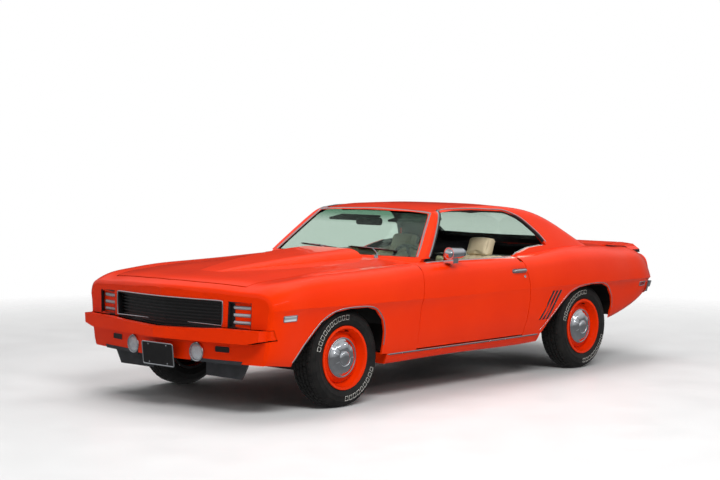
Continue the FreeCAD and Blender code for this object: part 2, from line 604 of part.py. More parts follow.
def make_face(grille, lamp, valance):
    """Bumpers, grille and lamps, all following the nose and tail lines in plan."""
    reach, wrap, wall = size("bumper_reach"), size("bumper_wrap"), size("skin")
    wide = half_width + over
    puffed, core = body_solid(-wrap, wall * 8), body_solid(wall / 2, wall * 10)
    for name, outline, start, end in (("front_bumper", FRONT_BUMPER_SHARES, front - over, front + 0.070 * length),
                                      ("rear_bumper", REAR_BUMPER_SHARES, front + 0.965 * length, -front + over)):
        room = block(-wide, wide, start, end, 0.31 * height, 0.55 * height)
        outside = puffed.common(room).common(front_prism(both_sides(outline), start, end))
        inside = core.common(room).common(plan_limit(-reach / 3))
        bumper = outside.common(plan_limit(-reach)).cut(inside)
        if name == "front_bumper":
            for side in (-1, 1):
                tab = block(side * 0.43 * half_width - 2 * wall, side * 0.43 * half_width + 2 * wall, start, end,
                            0.362 * height, 0.375 * height)
                bumper = bumper.fuse(tab.common(plan_limit(-reach * 0.6)).cut(plan_limit(wall)))
        keep(name, bumper)
    slab = plan_limit(wall * 2.2).cut(plan_limit(wall * 3.6)).common(grille)
    bars = 9
    low, high = GRILLE_SHARES[0][1] * height, GRILLE_SHARES[-1][1] * height
    pitch = (high - low) / bars
    for k in range(bars):
        z = low + (k + 0.30) * pitch
        groove = plan_limit(0).cut(plan_limit(wall * 3.1)).common(block(-wide, wide, front, 0, z, z + pitch * 0.55))
        slab = slab.cut(groove.common(block(-0.535 * half_width, 0.535 * half_width, front, 0, 0, height)))
    keep("grille", slab.fuse(surround(GRILLE_SHARES, 0.0, wall * 0.6, wall * 3.6)))
    cover = plan_limit(wall * 2.0).cut(plan_limit(wall * 3.0)).common(lamp)
    rib_low, rib_high = LAMP_SHARES[0][1] * height, LAMP_SHARES[2][1] * height
    rise = (rib_high - rib_low) / 7
    for k in (1, 3, 5):
        cover = cover.cut(block(0.62 * half_width, 0.775 * half_width, front, 0, rib_low + k * rise,
                                rib_low + (k + 1) * rise))
    cover = cover.fuse(surround(LAMP_SHARES, 0.691, wall * 0.6, wall * 3.0))
    keep("headlamp_covers", Part.makeCompound([cover, mirrored(cover)]))
    eye = Part.makeCylinder(0.0625 * height, 0.030 * length, Vector(0.691 * half_width, front + 0.0340 * length,
                                                                     0.502 * height), Vector(0, 1, 0))
    bowl = eye.common(plan_limit(wall * 3.0))
    keep("headlamps", Part.makeCompound([bowl, mirrored(bowl)]))
    glow = front_prism(TAIL_LAMP_SHARES, 0, -front + over).common(plan_limit(-wall / 4).cut(plan_limit(wall / 5)))
    keep("tail_lamps", Part.makeCompound([glow, mirrored(glow)]))
    dam = front_prism(AIR_DAM_SHARES, front + 0.0500 * length, front + 0.0515 * length)
    lip = front_prism([(0.280, 0.258), (0.708, 0.258), (0.722, 0.275), (0.280, 0.275)], front + 0.0200 * length,
                      front + 0.0515 * length).common(plan_limit(0))
    dam = dam.fuse(lip).cut(valance)
    keep("front_air_dam", Part.makeCompound([dam, mirrored(dam)]))


def surround(shares, middle, start, end):
    """The bezel that lines a front opening, from start to end behind the nose line."""
    high = (shares[0][1] + shares[-1][1]) / 2
    inset_x, inset_z = size("bezel") / half_width, size("bezel") / height
    small = [(a - math.copysign(min(inset_x, abs(a - middle)), a - middle), b - math.copysign(inset_z, b - high))
             for a, b in shares]
    if not middle:
        shares, small = both_sides(shares), both_sides(small)
    sleeve = front_prism(shares, -0.6 * length, -0.43 * length).cut(front_prism(small, -0.62 * length, -0.42 * length))
    return sleeve.common(plan_limit(start).cut(plan_limit(end)))


def side_arch_pair(arch):
    return arch.fuse(mirrored(arch))


WIDE, LONG, HIGH = "Sizes.car_width / 2", "Sizes.car_length", "Sizes.car_height"


def across(share):
    return f"{WIDE} * {share:.4f}"


def along_car(share):
    return f"{LONG} * ({share:.4f} - 0.5)"


def upward(share):
    return f"{HIGH} * {share:.4f}"


def brick(name, x, y, z):
    """A box between pairs of shares: of half width, of length from the nose, and of height."""
    item = doc.addObject("Part::Box", name)
    item.setExpression("Length", f"{WIDE} * {x[1] - x[0]:.4f}")
    item.setExpression("Width", f"{LONG} * {y[1] - y[0]:.4f}")
    item.setExpression("Height", f"{HIGH} * {z[1] - z[0]:.4f}")
    item.setExpression("Placement.Base.x", across(x[0]))
    item.setExpression("Placement.Base.y", along_car(y[0]))
    item.setExpression("Placement.Base.z", upward(z[0]))
    return item


TURNS = {"x": FreeCAD.Rotation(Vector(0, 1, 0), 90), "y": FreeCAD.Rotation(Vector(1, 0, 0), -90),
         "z": FreeCAD.Rotation()}


def bar(name, radius, start, axis, reach, tip=None):
    """A round bar or cone: radius and reach are shares of height, start is (x, y, z) shares."""
    kind = "Part::Cylinder" if tip is None else "Part::Cone"
    item = doc.addObject(kind, name)
    if tip is None:
        item.setExpression("Radius", f"{HIGH} * {radius:.4f}")
    else:
        item.setExpression("Radius1", f"{HIGH} * {radius:.4f}")
        item.setExpression("Radius2", f"{HIGH} * {tip:.4f}")
    item.setExpression("Height", f"{HIGH} * {reach:.4f}")
    item.Placement = FreeCAD.Placement(Vector(), TURNS[axis])
    item.setExpression("Placement.Base.x", across(start[0]))
    item.setExpression("Placement.Base.y", along_car(start[1]))
    item.setExpression("Placement.Base.z", upward(start[2]))
    return item


def joined(name, items, keep_it=True):
    fuse = doc.addObject("Part::MultiFuse", name)
    fuse.Shapes = items
    fuse.Label = name
    if keep_it:
        nodes.append(fuse)
    return fuse


def bored(name, base, tool, keep_it=True):
    cut = doc.addObject("Part::Cut", name)
    cut.Base, cut.Tool = base, tool
    cut.Label = name
    if keep_it:
        nodes.append(cut)
    return cut


def gathered(name, items):
    """Like pieces on one body, as solids that do not touch."""
    group = doc.addObject("Part::Compound", name)
    group.Links = items
    group.Label = name
    nodes.append(group)
    return group


def plane_of(body, role):
    return next(f for f in body.Origin.OriginFeatures if f.Role == role)


def draw_outline(sketch, points):
    """A closed outline whose corners are each held by expressions in the sheet's values."""
    count = len(points)
    values = [(doc_value(px), doc_value(py)) for px, py in points]
    lines = []
    for k in range(count):
        a, b = values[k], values[(k + 1) % count]
        lines.append(Part.LineSegment(Vector(a[0], a[1], 0), Vector(b[0], b[1], 0)))
    sketch.addGeometry(lines, False)
    for k in range(count):
        sketch.addConstraint(Sketcher.Constraint("Coincident", k, 2, (k + 1) % count, 1))
    for k, (px, py) in enumerate(points):
        for kind, term, value, axis in (("DistanceX", px, values[k][0], -2), ("DistanceY", py, values[k][1], -1)):
            if abs(value) < 1e-9:
                sketch.addConstraint(Sketcher.Constraint("PointOnObject", k, 1, axis))
            else:
                at = sketch.addConstraint(Sketcher.Constraint(kind, -1, 1, k, 1, value))
                sketch.setExpression(f"Constraints[{at}]", term)


def doc_value(term):
    """The number that a sheet expression stands for."""
    probe = sheet
    result = probe.evalExpression(term.replace("Sizes.", ""))
    return float(getattr(result, "Value", result))


def turned(name, points, place, mirror=False, keep_it=True):
    """A body of revolution about its own X axis from (out along the axis, radius) expressions."""
    body = doc.addObject("PartDesign::Body", name)
    sketch = body.newObject("Sketcher::SketchObject", name + "_outline")
    sketch.AttachmentSupport = [(plane_of(body, "XY_Plane"), "")]
    sketch.MapMode = "FlatFace"
    draw_outline(sketch, points)
    doc.recompute()
    turn = body.newObject("PartDesign::Revolution", name + "_turn")
    turn.Profile = sketch
    turn.ReferenceAxis = (sketch, ["H_Axis"])
    turn.Angle = 360.0
    body.Tip = turn
    if mirror:
        body.Placement = FreeCAD.Placement(Vector(), FreeCAD.Rotation(Vector(0, 0, 1), 180))
    for axis, term in zip("xyz", place):
        body.setExpression("Placement.Base." + axis, term)
    body.Label = name
    if keep_it:
        nodes.append(body)
    return body


def pressed(name, role, points, start, reach, keep_it=True):
    """A body padded square to an origin plane from an outline, between start and start + reach."""
    body = doc.addObject("PartDesign::Body", name)
    sketch = body.newObject("Sketcher::SketchObject", name + "_outline")
    sketch.AttachmentSupport = [(plane_of(body, role), "")]
    sketch.MapMode = "FlatFace"
    sketch.setExpression("AttachmentOffset.Base.z", start)
    draw_outline(sketch, points)
    doc.recompute()
    pad = body.newObject("PartDesign::Pad", name + "_pad")
    pad.Profile = sketch
    pad.setExpression("Length", reach)
    body.Tip = pad
    body.Label = name
    if keep_it:
        nodes.append(body)
    return body


# Wheel sections: (share of half the tyre's width outward, share of the tyre's radius)
TYRE_SHARES = [(0.66, 0.604), (0.88, 0.604), (0.88, 0.650), (0.94, 0.68), (0.985, 0.76), (1.0, 0.84), (0.96, 0.91), (0.86, 0.965),
               (0.74, 0.992), (0.45, 1.0), (-0.45, 1.0), (-0.74, 0.992), (-0.86, 0.965), (-0.96, 0.91), (-1.0, 0.84),
               (-0.985, 0.76), (-0.94, 0.68), (-0.88, 0.650), (-0.88, 0.604), (-0.66, 0.604), (-0.66, 0.63), (-0.90, 0.75),
               (-0.80, 0.90), (0.80, 0.90), (0.90, 0.75), (0.66, 0.63)]
RIM_SHARES = [(0.90, 0.0), (0.885, 0.12), (0.84, 0.24), (0.76, 0.33), (0.64, 0.390), (0.60, 0.408), (0.56, 0.408),
              (0.54, 0.44), (0.42, 0.500), (0.30, 0.520), (0.34, 0.535), (0.66, 0.570), (0.80, 0.582), (0.93, 0.596),
              (0.95, 0.640), (0.93, 0.650), (0.88, 0.650), (0.88, 0.604), (0.66, 0.604), (0.50, 0.560), (-0.40, 0.560),
              (-0.66, 0.604), (-0.88, 0.604), (-0.88, 0.650), (-0.93, 0.650), (-0.95, 0.640), (-0.93, 0.596),
              (-0.80, 0.582), (-0.62, 0.575), (-0.36, 0.535), (0.20, 0.520), (0.32, 0.480), (0.44, 0.400),
              (0.40, 0.24), (0.40, 0.0)]


def wheel_term(shares):
    return [(f"Sizes.tyre_width / 2 * {u:.4f}", f"Sizes.tyre_diameter / 2 * {r:.4f}") for u, r in shares]


def make_wheels():
    for end, offset in (("front", "Sizes.front_overhang"), ("rear", "(Sizes.front_overhang + Sizes.wheelbase)")):
        for side, sign in (("left", 1), ("right", -1)):
            place = (f"{sign} * Sizes.track / 2", f"{offset} - Sizes.car_length / 2", "Sizes.axle_height")
            turned(f"tyre_{end}_{side}", wheel_term(TYRE_SHARES), place, sign < 0)
            turned(f"wheel_{end}_{side}", wheel_term(RIM_SHARES), place, sign < 0)


def hull(name, points, wide, keep_it=True):
    """A piece of even width about the middle, from a side outline of (share of length, share of height)."""
    start, reach = across(wide[0]), f"{WIDE} * {wide[1] - wide[0]:.4f}"
    outline = [(along_car(a), upward(b)) for a, b in points]
    return pressed(name, "YZ_Plane", outline, start, reach, keep_it)


def make_structure(cabin):
    floor = hull("floor_middle", [(0.352, 0.330), (0.376, 0.196), (0.610, 0.196), (0.645, 0.326), (0.641, 0.332),
                                  (0.606, 0.202), (0.380, 0.202), (0.3565, 0.330)],
                 (-0.620, 0.620), False)
    hull("trunk_floor", [(0.645, 0.327), (0.650, 0.345), (0.805, 0.345), (0.820, 0.315), (0.962, 0.315),
                         (0.962, 0.321), (0.822, 0.321), (0.807, 0.352), (0.646, 0.352), (0.6415, 0.335)],
         (-0.620, 0.620))
    wings = [hull(f"floor_side_{k}", [(0.352, 0.330), (0.376, 0.196), (0.604, 0.196), (0.604, 0.202), (0.380, 0.202),
                                      (0.3565, 0.330)], wide, False)
             for k, wide in enumerate([(-0.760, -0.620), (0.620, 0.760)])]
    tunnel = hull("tunnel", [(0.3565, 0.330), (0.376, 0.196), (0.610, 0.196), (0.640, 0.300), (0.600, 0.300),
                             (0.470, 0.300), (0.375, 0.345), (0.3565, 0.342)], (-0.150, 0.150), False)
    hollow = hull("tunnel_hollow", [(0.340, 0.320), (0.355, 0.180), (0.616, 0.180), (0.642, 0.290), (0.600, 0.290),
                                    (0.470, 0.290), (0.372, 0.332), (0.340, 0.331)], (-0.138, 0.138), False)
    slab = joined("floor_slab", [floor, tunnel] + wings, False)
    bored("floor_pan", slab, hollow)

    wall = joined("firewall_plate", [brick("firewall_low", (-0.755, 0.755), (0.3510, 0.3555), (0.330, 0.6650)),
                                     brick("firewall_top", (-0.200, 0.200), (0.3510, 0.3555), (0.6650, 0.760))], False)
    doc.recompute()
    keep("firewall", wall.Shape.common(cabin))

    rails = [brick(f"rail_{k}", (x - 0.045, x + 0.045), (0.052, 0.352), (0.250, 0.330))
             for k, x in enumerate((-0.42, 0.42))]
    rails += [brick("front_member", (-0.465, 0.465), (0.185, 0.215), (0.165, 0.250)),
              brick("front_tie", (-0.465, 0.465), (0.052, 0.066), (0.250, 0.330)),
              brick("gearbox_member", (-0.465, 0.465), (0.330, 0.345), (0.178, 0.1955)),
              brick("gearbox_member_left", (0.375, 0.465), (0.330, 0.345), (0.1955, 0.250)),
              brick("gearbox_member_right", (-0.465, -0.375), (0.330, 0.345), (0.1955, 0.250))]
    for k, sign in enumerate((-1, 1)):
        lower = (min(sign * 0.46, sign * 0.70), max(sign * 0.46, sign * 0.70))
        rails.append(brick(f"lower_arm_{k}", lower, (0.190, 0.206), (0.170, 0.188)))
        rails.append(brick(f"upper_arm_{k}", lower, (0.192, 0.204), (0.342, 0.357)))
        tower = (min(sign * 0.40, sign * 0.465), max(sign * 0.40, sign * 0.465))
        rails.append(brick(f"tower_{k}", tower, (0.185, 0.211), (0.330, 0.400)))
    joined("front_subframe", rails)

    ring, liners = [], []
    for k, sign in enumerate((-1, 1)):
        span = (min(sign * 0.500, sign * 0.995), max(sign * 0.500, sign * 0.995))
        liners.append(hull(f"front_liner_{k}", [(0.082, 0.330), (0.098, 0.440), (0.130, 0.530), (0.165, 0.560),
                                                (0.240, 0.560), (0.272, 0.500), (0.285, 0.400), (0.285, 0.260),
                                                (0.282, 0.260), (0.282, 0.400), (0.269, 0.495), (0.238, 0.552),
                                                (0.167, 0.552), (0.133, 0.522), (0.102, 0.434), (0.087, 0.330)],
                           span, False))
        inner = (min(sign * 0.495, sign * 0.500), max(sign * 0.495, sign * 0.500))
        liners.append(hull(f"front_liner_wall_{k}", [(0.082, 0.330), (0.098, 0.440), (0.130, 0.530), (0.165, 0.560),
                                                     (0.240, 0.560), (0.272, 0.500), (0.285, 0.400), (0.285, 0.330),
                                                     (0.215, 0.330), (0.215, 0.372), (0.181, 0.372), (0.181, 0.330)],
                           inner, False))
    liner = joined("front_liners", liners, False)
    doc.recompute()
    keep("inner_fenders", liner.Shape.common(cabin))
    liners = []
    for k, sign in enumerate((-1, 1)):
        span = (min(sign * 0.625, sign * 0.995), max(sign * 0.625, sign * 0.995))
        liners.append(hull(f"rear_liner_{k}", [(0.646, 0.2505), (0.659, 0.345), (0.690, 0.450), (0.730, 0.530),
                                               (0.780, 0.560), (0.825, 0.550), (0.860, 0.480), (0.868, 0.380),
                                               (0.865, 0.300), (0.862, 0.300), (0.865, 0.380), (0.857, 0.475),
                                               (0.823, 0.542), (0.780, 0.552), (0.732, 0.522), (0.693, 0.443),
                                               (0.662, 0.340), (0.650, 0.2505)], span, False))
        inner = (min(sign * 0.620, sign * 0.625), max(sign * 0.620, sign * 0.625))
        liners.append(hull(f"rear_liner_wall_{k}", [(0.659, 0.345), (0.690, 0.450), (0.730, 0.530),
                                                    (0.780, 0.560), (0.825, 0.550), (0.860, 0.480), (0.868, 0.380),
                                                    (0.866, 0.315), (0.820, 0.315), (0.805, 0.345)], inner, False))
    liner = joined("rear_liners", liners, False)
    doc.recompute()
    keep("rear_wheelhouses", liner.Shape.common(cabin))


def make_running_gear():
    block_items = [hull("crankcase", [(0.140, 0.330), (0.155, 0.250), (0.270, 0.250), (0.285, 0.330), (0.285, 0.520),
                                      (0.140, 0.520)], (-0.180, 0.180), False),
                   brick("bank_left", (0.100, 0.300), (0.145, 0.275), (0.450, 0.560)),
                   brick("bank_right", (-0.300, -0.100), (0.145, 0.275), (0.450, 0.560)),
                   brick("inlet", (-0.110, 0.110), (0.160, 0.260), (0.500, 0.590)),
                   bar("air_cleaner", 0.125, (0.0, 0.210, 0.590), "z", 0.055),
                   bar("fan_hub", 0.030, (0.0, 0.120, 0.440), "y", 0.075),
                   bar("fan", 0.150, (0.0, 0.118, 0.440), "y", 0.012)]
    joined("engine_block", block_items)
    radiator = [brick("radiator_core", (-0.340, 0.340), (0.078, 0.090), (0.345, 0.560)),
                brick("radiator_feet", (-0.465, 0.465), (0.078, 0.090), (0.330, 0.345)),
                brick("radiator_top", (-0.500, 0.500), (0.076, 0.094), (0.560, 0.575))]
    joined("radiator", radiator)
    line = [bar("gearbox", 0.100, (0.0, 0.285, 0.270), "y", 0.260, 0.055),
            bar("gearbox_tail", 0.045, (0.0, 0.350, 0.268), "y", 0.200),
            bar("shaft", 0.025, (0.0, 0.400, 0.2527), "y", 1.1602),
            brick("gearbox_foot", (-0.060, 0.060), (0.332, 0.343), (0.1955, 0.260))]
    joined("driveline", line)
    axle_z, axle_y = 0.2527, 0.7788
    axle = [bar("axle_tube", 0.032, (-0.640, axle_y, axle_z), "x", 0.927),
            bar("axle_case", 0.0850, (0.0, axle_y - 0.025, axle_z), "y", 0.170),
            bar("axle_nose", 0.045, (0.0, axle_y - 0.060, axle_z), "y", 0.200),
            bar("hub_left", 0.055, (0.640, axle_y, axle_z), "x", 0.1505),
            bar("hub_right", 0.055, (-0.8478, axle_y, axle_z), "x", 0.1505)]
    for k, x in enumerate((-0.52, 0.52)):
        axle.append(hull(f"leaf_{k}", [(0.6365, 0.2850), (0.700, 0.232), (0.780, 0.212), (0.860, 0.250),
                                       (0.915, 0.315), (0.920, 0.308), (0.866, 0.238), (0.780, 0.200),
                                       (0.696, 0.220), (0.6345, 0.275)], (x - 0.035, x + 0.035), False))
        axle.append(brick(f"leaf_seat_{k}", (x - 0.045, x + 0.045), (axle_y - 0.012, axle_y + 0.012),
                          (0.205, 0.285)))
    joined("rear_axle", axle)
    tank = brick("tank_body", (-0.400, 0.400), (0.862, 0.945), (0.205, 0.3150))
    joined("fuel_tank", [tank, brick("tank_flange", (-0.420, 0.420), (0.859, 0.948), (0.258, 0.264))])
    pipes = []
    for k, sign in enumerate((-1, 1)):
        x = sign * 0.235
        pipes.append(bar(f"pipe_{k}", 0.022, (x, 0.267, 0.155), "y", 1.55))
        muffler = bar(f"muffler_{k}", 0.058, (x, 0.640, 0.178), "y", 0.300)
        pipes.append(muffler)
        down = brick(f"downpipe_{k}", (x - 0.025, x + 0.025), (0.262, 0.272), (0.150, 0.450))
        pipes.append(down)
        hanger = brick(f"hanger_{k}", (x - 0.01, x + 0.01), (0.590, 0.594), (0.155, 0.196))
        pipes.append(brick(f"pipe_foot_{k}", (x - 0.02, x + 0.02), (0.450, 0.454), (0.155, 0.196)))
        pipes.append(hanger)
    joined("exhaust_system", pipes[:])
    for side, sign in (("left", 1), ("right", -1)):
        knuckle = [bar(f"upright_{side}", 0.060, (sign * 0.705 - 0.022, 0.1981, axle_z), "x", 0.032),
                   brick(f"carrier_{side}", (sign * 0.695 - 0.025, sign * 0.695 + 0.025), (0.186, 0.210),
                         (0.1882, 0.3418)),
                   bar(f"stub_{side}", 0.050, (0.715 if sign > 0 else -0.8478, 0.1981, axle_z), "x", 0.09620)]
        joined(f"knuckle_{side}", knuckle)


DASH_SHARES = [(0.3555, 0.560), (0.3555, 0.700), (0.400, 0.716), (0.428, 0.712), (0.440, 0.690), (0.434, 0.610),
               (0.418, 0.560)]
SEAT_BACK_SHARES = [(0.566, 0.330), (0.600, 0.330), (0.632, 0.690), (0.610, 0.695)]
HEAD_REST_SHARES = [(0.6155, 0.720), (0.634, 0.715), (0.642, 0.795), (0.628, 0.800)]
SEAT_BASE_SHARES = [(0.480, 0.270), (0.590, 0.250), (0.590, 0.360), (0.540, 0.365), (0.478, 0.385)]
REAR_BASE_SHARES = [(0.645, 0.352), (0.730, 0.352), (0.718, 0.410), (0.650, 0.450)]
REAR_BACK_SHARES = [(0.712, 0.412), (0.730, 0.352), (0.745, 0.352), (0.772, 0.640), (0.745, 0.660)]


def make_cabin(cabin, hull_solid):
    profile = side_prism(DASH_SHARES, -0.742 * half_width, 0.742 * half_width)
    dash = keep("dashboard", profile.common(cabin))
    seats = []
    for k, sign in enumerate((-1, 1)):
        base = (min(sign * 0.165, sign * 0.665), max(sign * 0.165, sign * 0.665))
        rest = (min(sign * 0.300, sign * 0.530), max(sign * 0.300, sign * 0.530))
        foot = (min(sign * 0.200, sign * 0.590), max(sign * 0.200, sign * 0.590))
        seats += [hull(f"seat_base_{k}", SEAT_BASE_SHARES, base, False),
                  hull(f"seat_back_{k}", SEAT_BACK_SHARES, base, False),
                  hull(f"head_rest_{k}", HEAD_REST_SHARES, rest, False),
                  bar(f"rest_post_{k}", 0.006, (sign * 0.415, 0.6225, 0.680), "z", 0.045),
                  brick(f"seat_foot_{k}", foot, (0.500, 0.580), (0.2020, 0.275))]
    joined("front_seats", seats)
    rear = [hull("rear_base", REAR_BASE_SHARES, (-0.600, 0.600), False),
            hull("rear_back", REAR_BACK_SHARES, (-0.600, 0.600), False),
            brick("parcel_shelf", (-0.600, 0.600), (0.745, 0.800), (0.640, 0.650))]
    joined("rear_seat", rear)
    tilt = sheet_angle("column_tilt")
    column = doc.addObject("Part::Cylinder", "column_tube")
    column.setExpression("Radius", f"{HIGH} * 0.022")
    column.setExpression("Height", f"{HIGH} * 0.150")
    place_tilted(column, 0.39, 0.4455, 0.6150, tilt, -0.115)
    bored("steering_column", column, dash)
    ring = doc.addObject("Part::Torus", "wheel_ring")
    ring.setExpression("Radius1", f"{HIGH} * 0.142")
    ring.setExpression("Radius2", f"{HIGH} * 0.0105")
    place_tilted(ring, 0.39, 0.4455, 0.6150, tilt, 0.0650)
    hub = doc.addObject("Part::Cylinder", "wheel_hub")
    hub.setExpression("Radius", f"{HIGH} * 0.036")
    hub.setExpression("Height", f"{HIGH} * 0.032")
    place_tilted(hub, 0.39, 0.4455, 0.6150, tilt, 0.0350)
    arms = []
    for k in range(3):
        arm = doc.addObject("Part::Box", f"wheel_arm_{k}")
        arm.setExpression("Length", f"{HIGH} * 0.138")
        arm.setExpression("Width", f"{HIGH} * 0.020")
        arm.setExpression("Height", f"{HIGH} * 0.006")
        turn = FreeCAD.Rotation(Vector(1, 0, 0), tilt - 90).multiply(FreeCAD.Rotation(Vector(0, 0, 1), 180 * k + 0 if k < 2 else 270))
        start = Vector(0, -0.010 * height, 0)
        centre = tilted_point(0.39, 0.4455, 0.6150, tilt, 0.0580)
        arm.Placement = FreeCAD.Placement(centre + turn.multVec(start), turn)
        arms.append(arm)
    joined("steering_wheel", [ring, hub] + arms)
    blade = hull("spoiler_blade", SPOILER_SHARES, (-0.575, 0.575), False)
    doc.recompute()
    keep("rear_spoiler", blade.Shape.cut(hull_solid))
    mirror_head = bar("mirror_head", 0.034, (0.965, 0.410, 0.752), "y", 0.110, 0.026)
    mirror_stem = brick("mirror_stem", (0.880, 0.975), (0.418, 0.430), (0.6975, 0.745))
    doc.recompute()
    keep("door_mirror", mirror_head.Shape.fuse(mirror_stem.Shape).cut(hull_solid))


def sheet_angle(alias):
    return size(alias)


def tilted_point(x, y, z, tilt, reach):
    back, rise = math.cos(math.radians(tilt)), math.sin(math.radians(tilt))
    return Vector(x * half_width, front + y * length + back * reach * height, (z + rise * reach) * height)


def place_tilted(item, x, y, z, tilt, reach):
    item.Placement = FreeCAD.Placement(tilted_point(x, y, z, tilt, reach), FreeCAD.Rotation(Vector(1, 0, 0), tilt - 90))


def export_nodes():
    os.makedirs("parts", exist_ok=True)
    doc.recompute()
    for item in doc.Objects:
        if "Invalid" in item.State or "Error" in item.State:
            raise RuntimeError(f"{item.Label} did not build: {item.State}")
    for item in nodes:
        shape = item.Shape
        if shape.isNull() or not shape.isValid() or not shape.Solids:
            raise RuntimeError(f"{item.Label} has no sound solid")
        shape.exportStep(f"parts/{item.Label}.step")
    print(len(nodes), "nodes written")


def build_all():
    cabin, hull_solid = make_panels()
    make_wheels()
    make_structure(cabin)
    make_running_gear()
    make_cabin(cabin, hull_solid)


if __name__ == "__main__":
    build_all()
    export_nodes()
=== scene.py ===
"""Looks of the two-door hardtop: materials for the CAD pieces, trim, lamps, seats and detail, in metres."""
import math

import bmesh
import bpy
from mathutils import Matrix, Vector
from mathutils.bvhtree import BVHTree

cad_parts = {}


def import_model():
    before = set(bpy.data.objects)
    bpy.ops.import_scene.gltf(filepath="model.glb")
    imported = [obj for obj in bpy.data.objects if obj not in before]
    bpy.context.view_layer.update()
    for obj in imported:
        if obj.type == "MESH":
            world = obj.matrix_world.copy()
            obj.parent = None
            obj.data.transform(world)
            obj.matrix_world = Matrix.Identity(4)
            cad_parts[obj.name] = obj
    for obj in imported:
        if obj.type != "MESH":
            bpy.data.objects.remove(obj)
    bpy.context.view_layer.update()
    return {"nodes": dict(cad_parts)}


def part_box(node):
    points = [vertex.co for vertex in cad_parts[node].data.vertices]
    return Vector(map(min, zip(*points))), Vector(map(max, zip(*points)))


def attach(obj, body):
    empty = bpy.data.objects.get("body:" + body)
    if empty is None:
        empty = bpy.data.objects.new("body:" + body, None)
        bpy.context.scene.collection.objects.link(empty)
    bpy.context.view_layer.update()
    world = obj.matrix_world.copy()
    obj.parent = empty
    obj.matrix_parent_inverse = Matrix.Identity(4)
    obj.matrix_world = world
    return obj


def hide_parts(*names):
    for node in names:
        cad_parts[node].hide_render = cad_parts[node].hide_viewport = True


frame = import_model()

NODES = frame["nodes"]
SIDES = (("left", 1), ("right", -1))


# Materials

def vec(*values):
    return Vector(values)


def rgb(code):
    """Linear colour from a hex code."""
    parts = [int(code[k:k + 2], 16) / 255 for k in (0, 2, 4)]
    return tuple(p / 12.92 if p <= 0.04045 else ((p + 0.055) / 1.055) ** 2.4 for p in parts) + (1.0,)


class Nodes:
    """The node tree of a material or a world, emptied, with short ways to fill it."""

    def __init__(self, owner):
        owner.use_nodes = True
        self.tree = owner.node_tree
        self.tree.nodes.clear()

    def node(self, kind, inputs=(), **values):
        """A node with its properties; an input is a pair of its socket and a value or the socket linked to it."""
        item = self.tree.nodes.new("ShaderNode" + kind)
        for key, value in values.items():
            setattr(item, key, value)
        for key, value in dict(inputs).items():
            self.put(value, item.inputs[key])
        return item

    def put(self, value, socket):
        if isinstance(value, bpy.types.NodeSocket):
            self.tree.links.new(value, socket)
        else:
            socket.default_value = value


class Graph(Nodes):
    """A material with a principled shader, in object coordinates."""

    def __init__(self, name):
        self.mat = bpy.data.materials.new(name)
        super().__init__(self.mat)
        self.out = self.node("OutputMaterial")
        self.bsdf = self.node("BsdfPrincipled")
        self.put(self.bsdf.outputs[0], self.out.inputs[0])
        self.coord = self.node("TexCoord").outputs["Object"]

    def noise(self, scale, detail=4.0, rough=0.5, stretch=None):
        item, place = self.node("TexNoise", {"Scale": scale, "Detail": detail, "Roughness": rough}), self.coord
        if stretch:
            place = self.node("Mapping", {"Scale": stretch, "Vector": place}).outputs[0]
        self.put(place, item.inputs["Vector"])
        return item.outputs["Fac"]

    def voronoi(self, scale, feature="F1"):
        return self.node("TexVoronoi", {"Scale": scale, "Vector": self.coord}, feature=feature).outputs["Distance"]

    def wave(self, scale, axis):
        return self.node("TexWave", {"Scale": scale, "Vector": self.coord}, bands_direction=axis).outputs["Fac"]

    def spread(self, fac, low=0.0, high=1.0, from_low=0.25, from_high=0.75):
        """A factor stretched from one range to another."""
        return self.node("MapRange", {"From Min": from_low, "From Max": from_high, "To Min": low, "To Max": high,
                                      "Value": fac}).outputs[0]

    def mix(self, fac, first, second):
        return self.node("Mix", {0: fac, 6: first, 7: second}, data_type="RGBA").outputs[2]

    def bump(self, fac, strength, distance, under=None):
        inputs = {"Strength": strength, "Distance": distance, "Height": fac}
        if under is not None:
            inputs["Normal"] = under
        return self.node("Bump", inputs).outputs[0]

    def height(self):
        return self.node("SeparateXYZ", {0: self.coord}).outputs[2]

    def set(self, **values):
        for key, value in values.items():
            self.put(value, self.bsdf.inputs[key.replace("_", " ")])
        return self.mat


def paint_material(name, main, deep):
    """Gloss paint with a clear coat, darkened low down as painted shade."""
    g = Graph(name)
    tone = g.spread(g.noise(2.2, 3.0))
    colour = g.mix(tone, rgb(main), rgb(deep))
    # Painted shade: the colour darkens toward 3A1A10 near the bottom of the body, where the panels turn under into
    # shade
    painted_low_shade = g.spread(g.height(), 0.1, 0.0, 0.2, 0.48)
    colour = g.mix(painted_low_shade, colour, rgb("3A1A10"))
    peel = g.bump(g.noise(420.0, 2.0), 0.012, 0.0004)
    rough = g.spread(g.noise(9.0, 6.0), 0.28, 0.36)
    return g.set(Base_Color=colour, Roughness=rough, Normal=peel, Coat_Weight=0.6, Coat_Roughness=0.02,
                 Coat_IOR=1.28, Specular_Tint=rgb(main), Specular_IOR_Level=0.2,
                 Coat_Normal=g.bump(g.noise(160.0, 2.0), 0.003, 0.0003))


def metal_material(name, main, dark, rough, grain, stretch=None):
    g = Graph(name)
    tone = g.noise(grain, 6.0, 0.6, stretch)
    return g.set(Base_Color=g.mix(g.spread(tone), rgb(main), rgb(dark)), Metallic=1.0,
                 Roughness=g.spread(g.noise(grain * 0.4, 5.0), rough[0], rough[1]),
                 Normal=g.bump(g.noise(grain * 8, 3.0, 0.5, stretch), 0.03, 0.0004))


def plastic_material(name, main, dark, rough, grain, depth, coat=0.0):
    g = Graph(name)
    tone = g.spread(g.noise(14.0, 6.0))
    return g.set(Base_Color=g.mix(tone, rgb(main), rgb(dark)), Roughness=g.spread(g.noise(30.0, 5.0), *rough),
                 Normal=g.bump(g.voronoi(grain), depth, 0.0004), Coat_Weight=coat, Coat_Roughness=0.06)


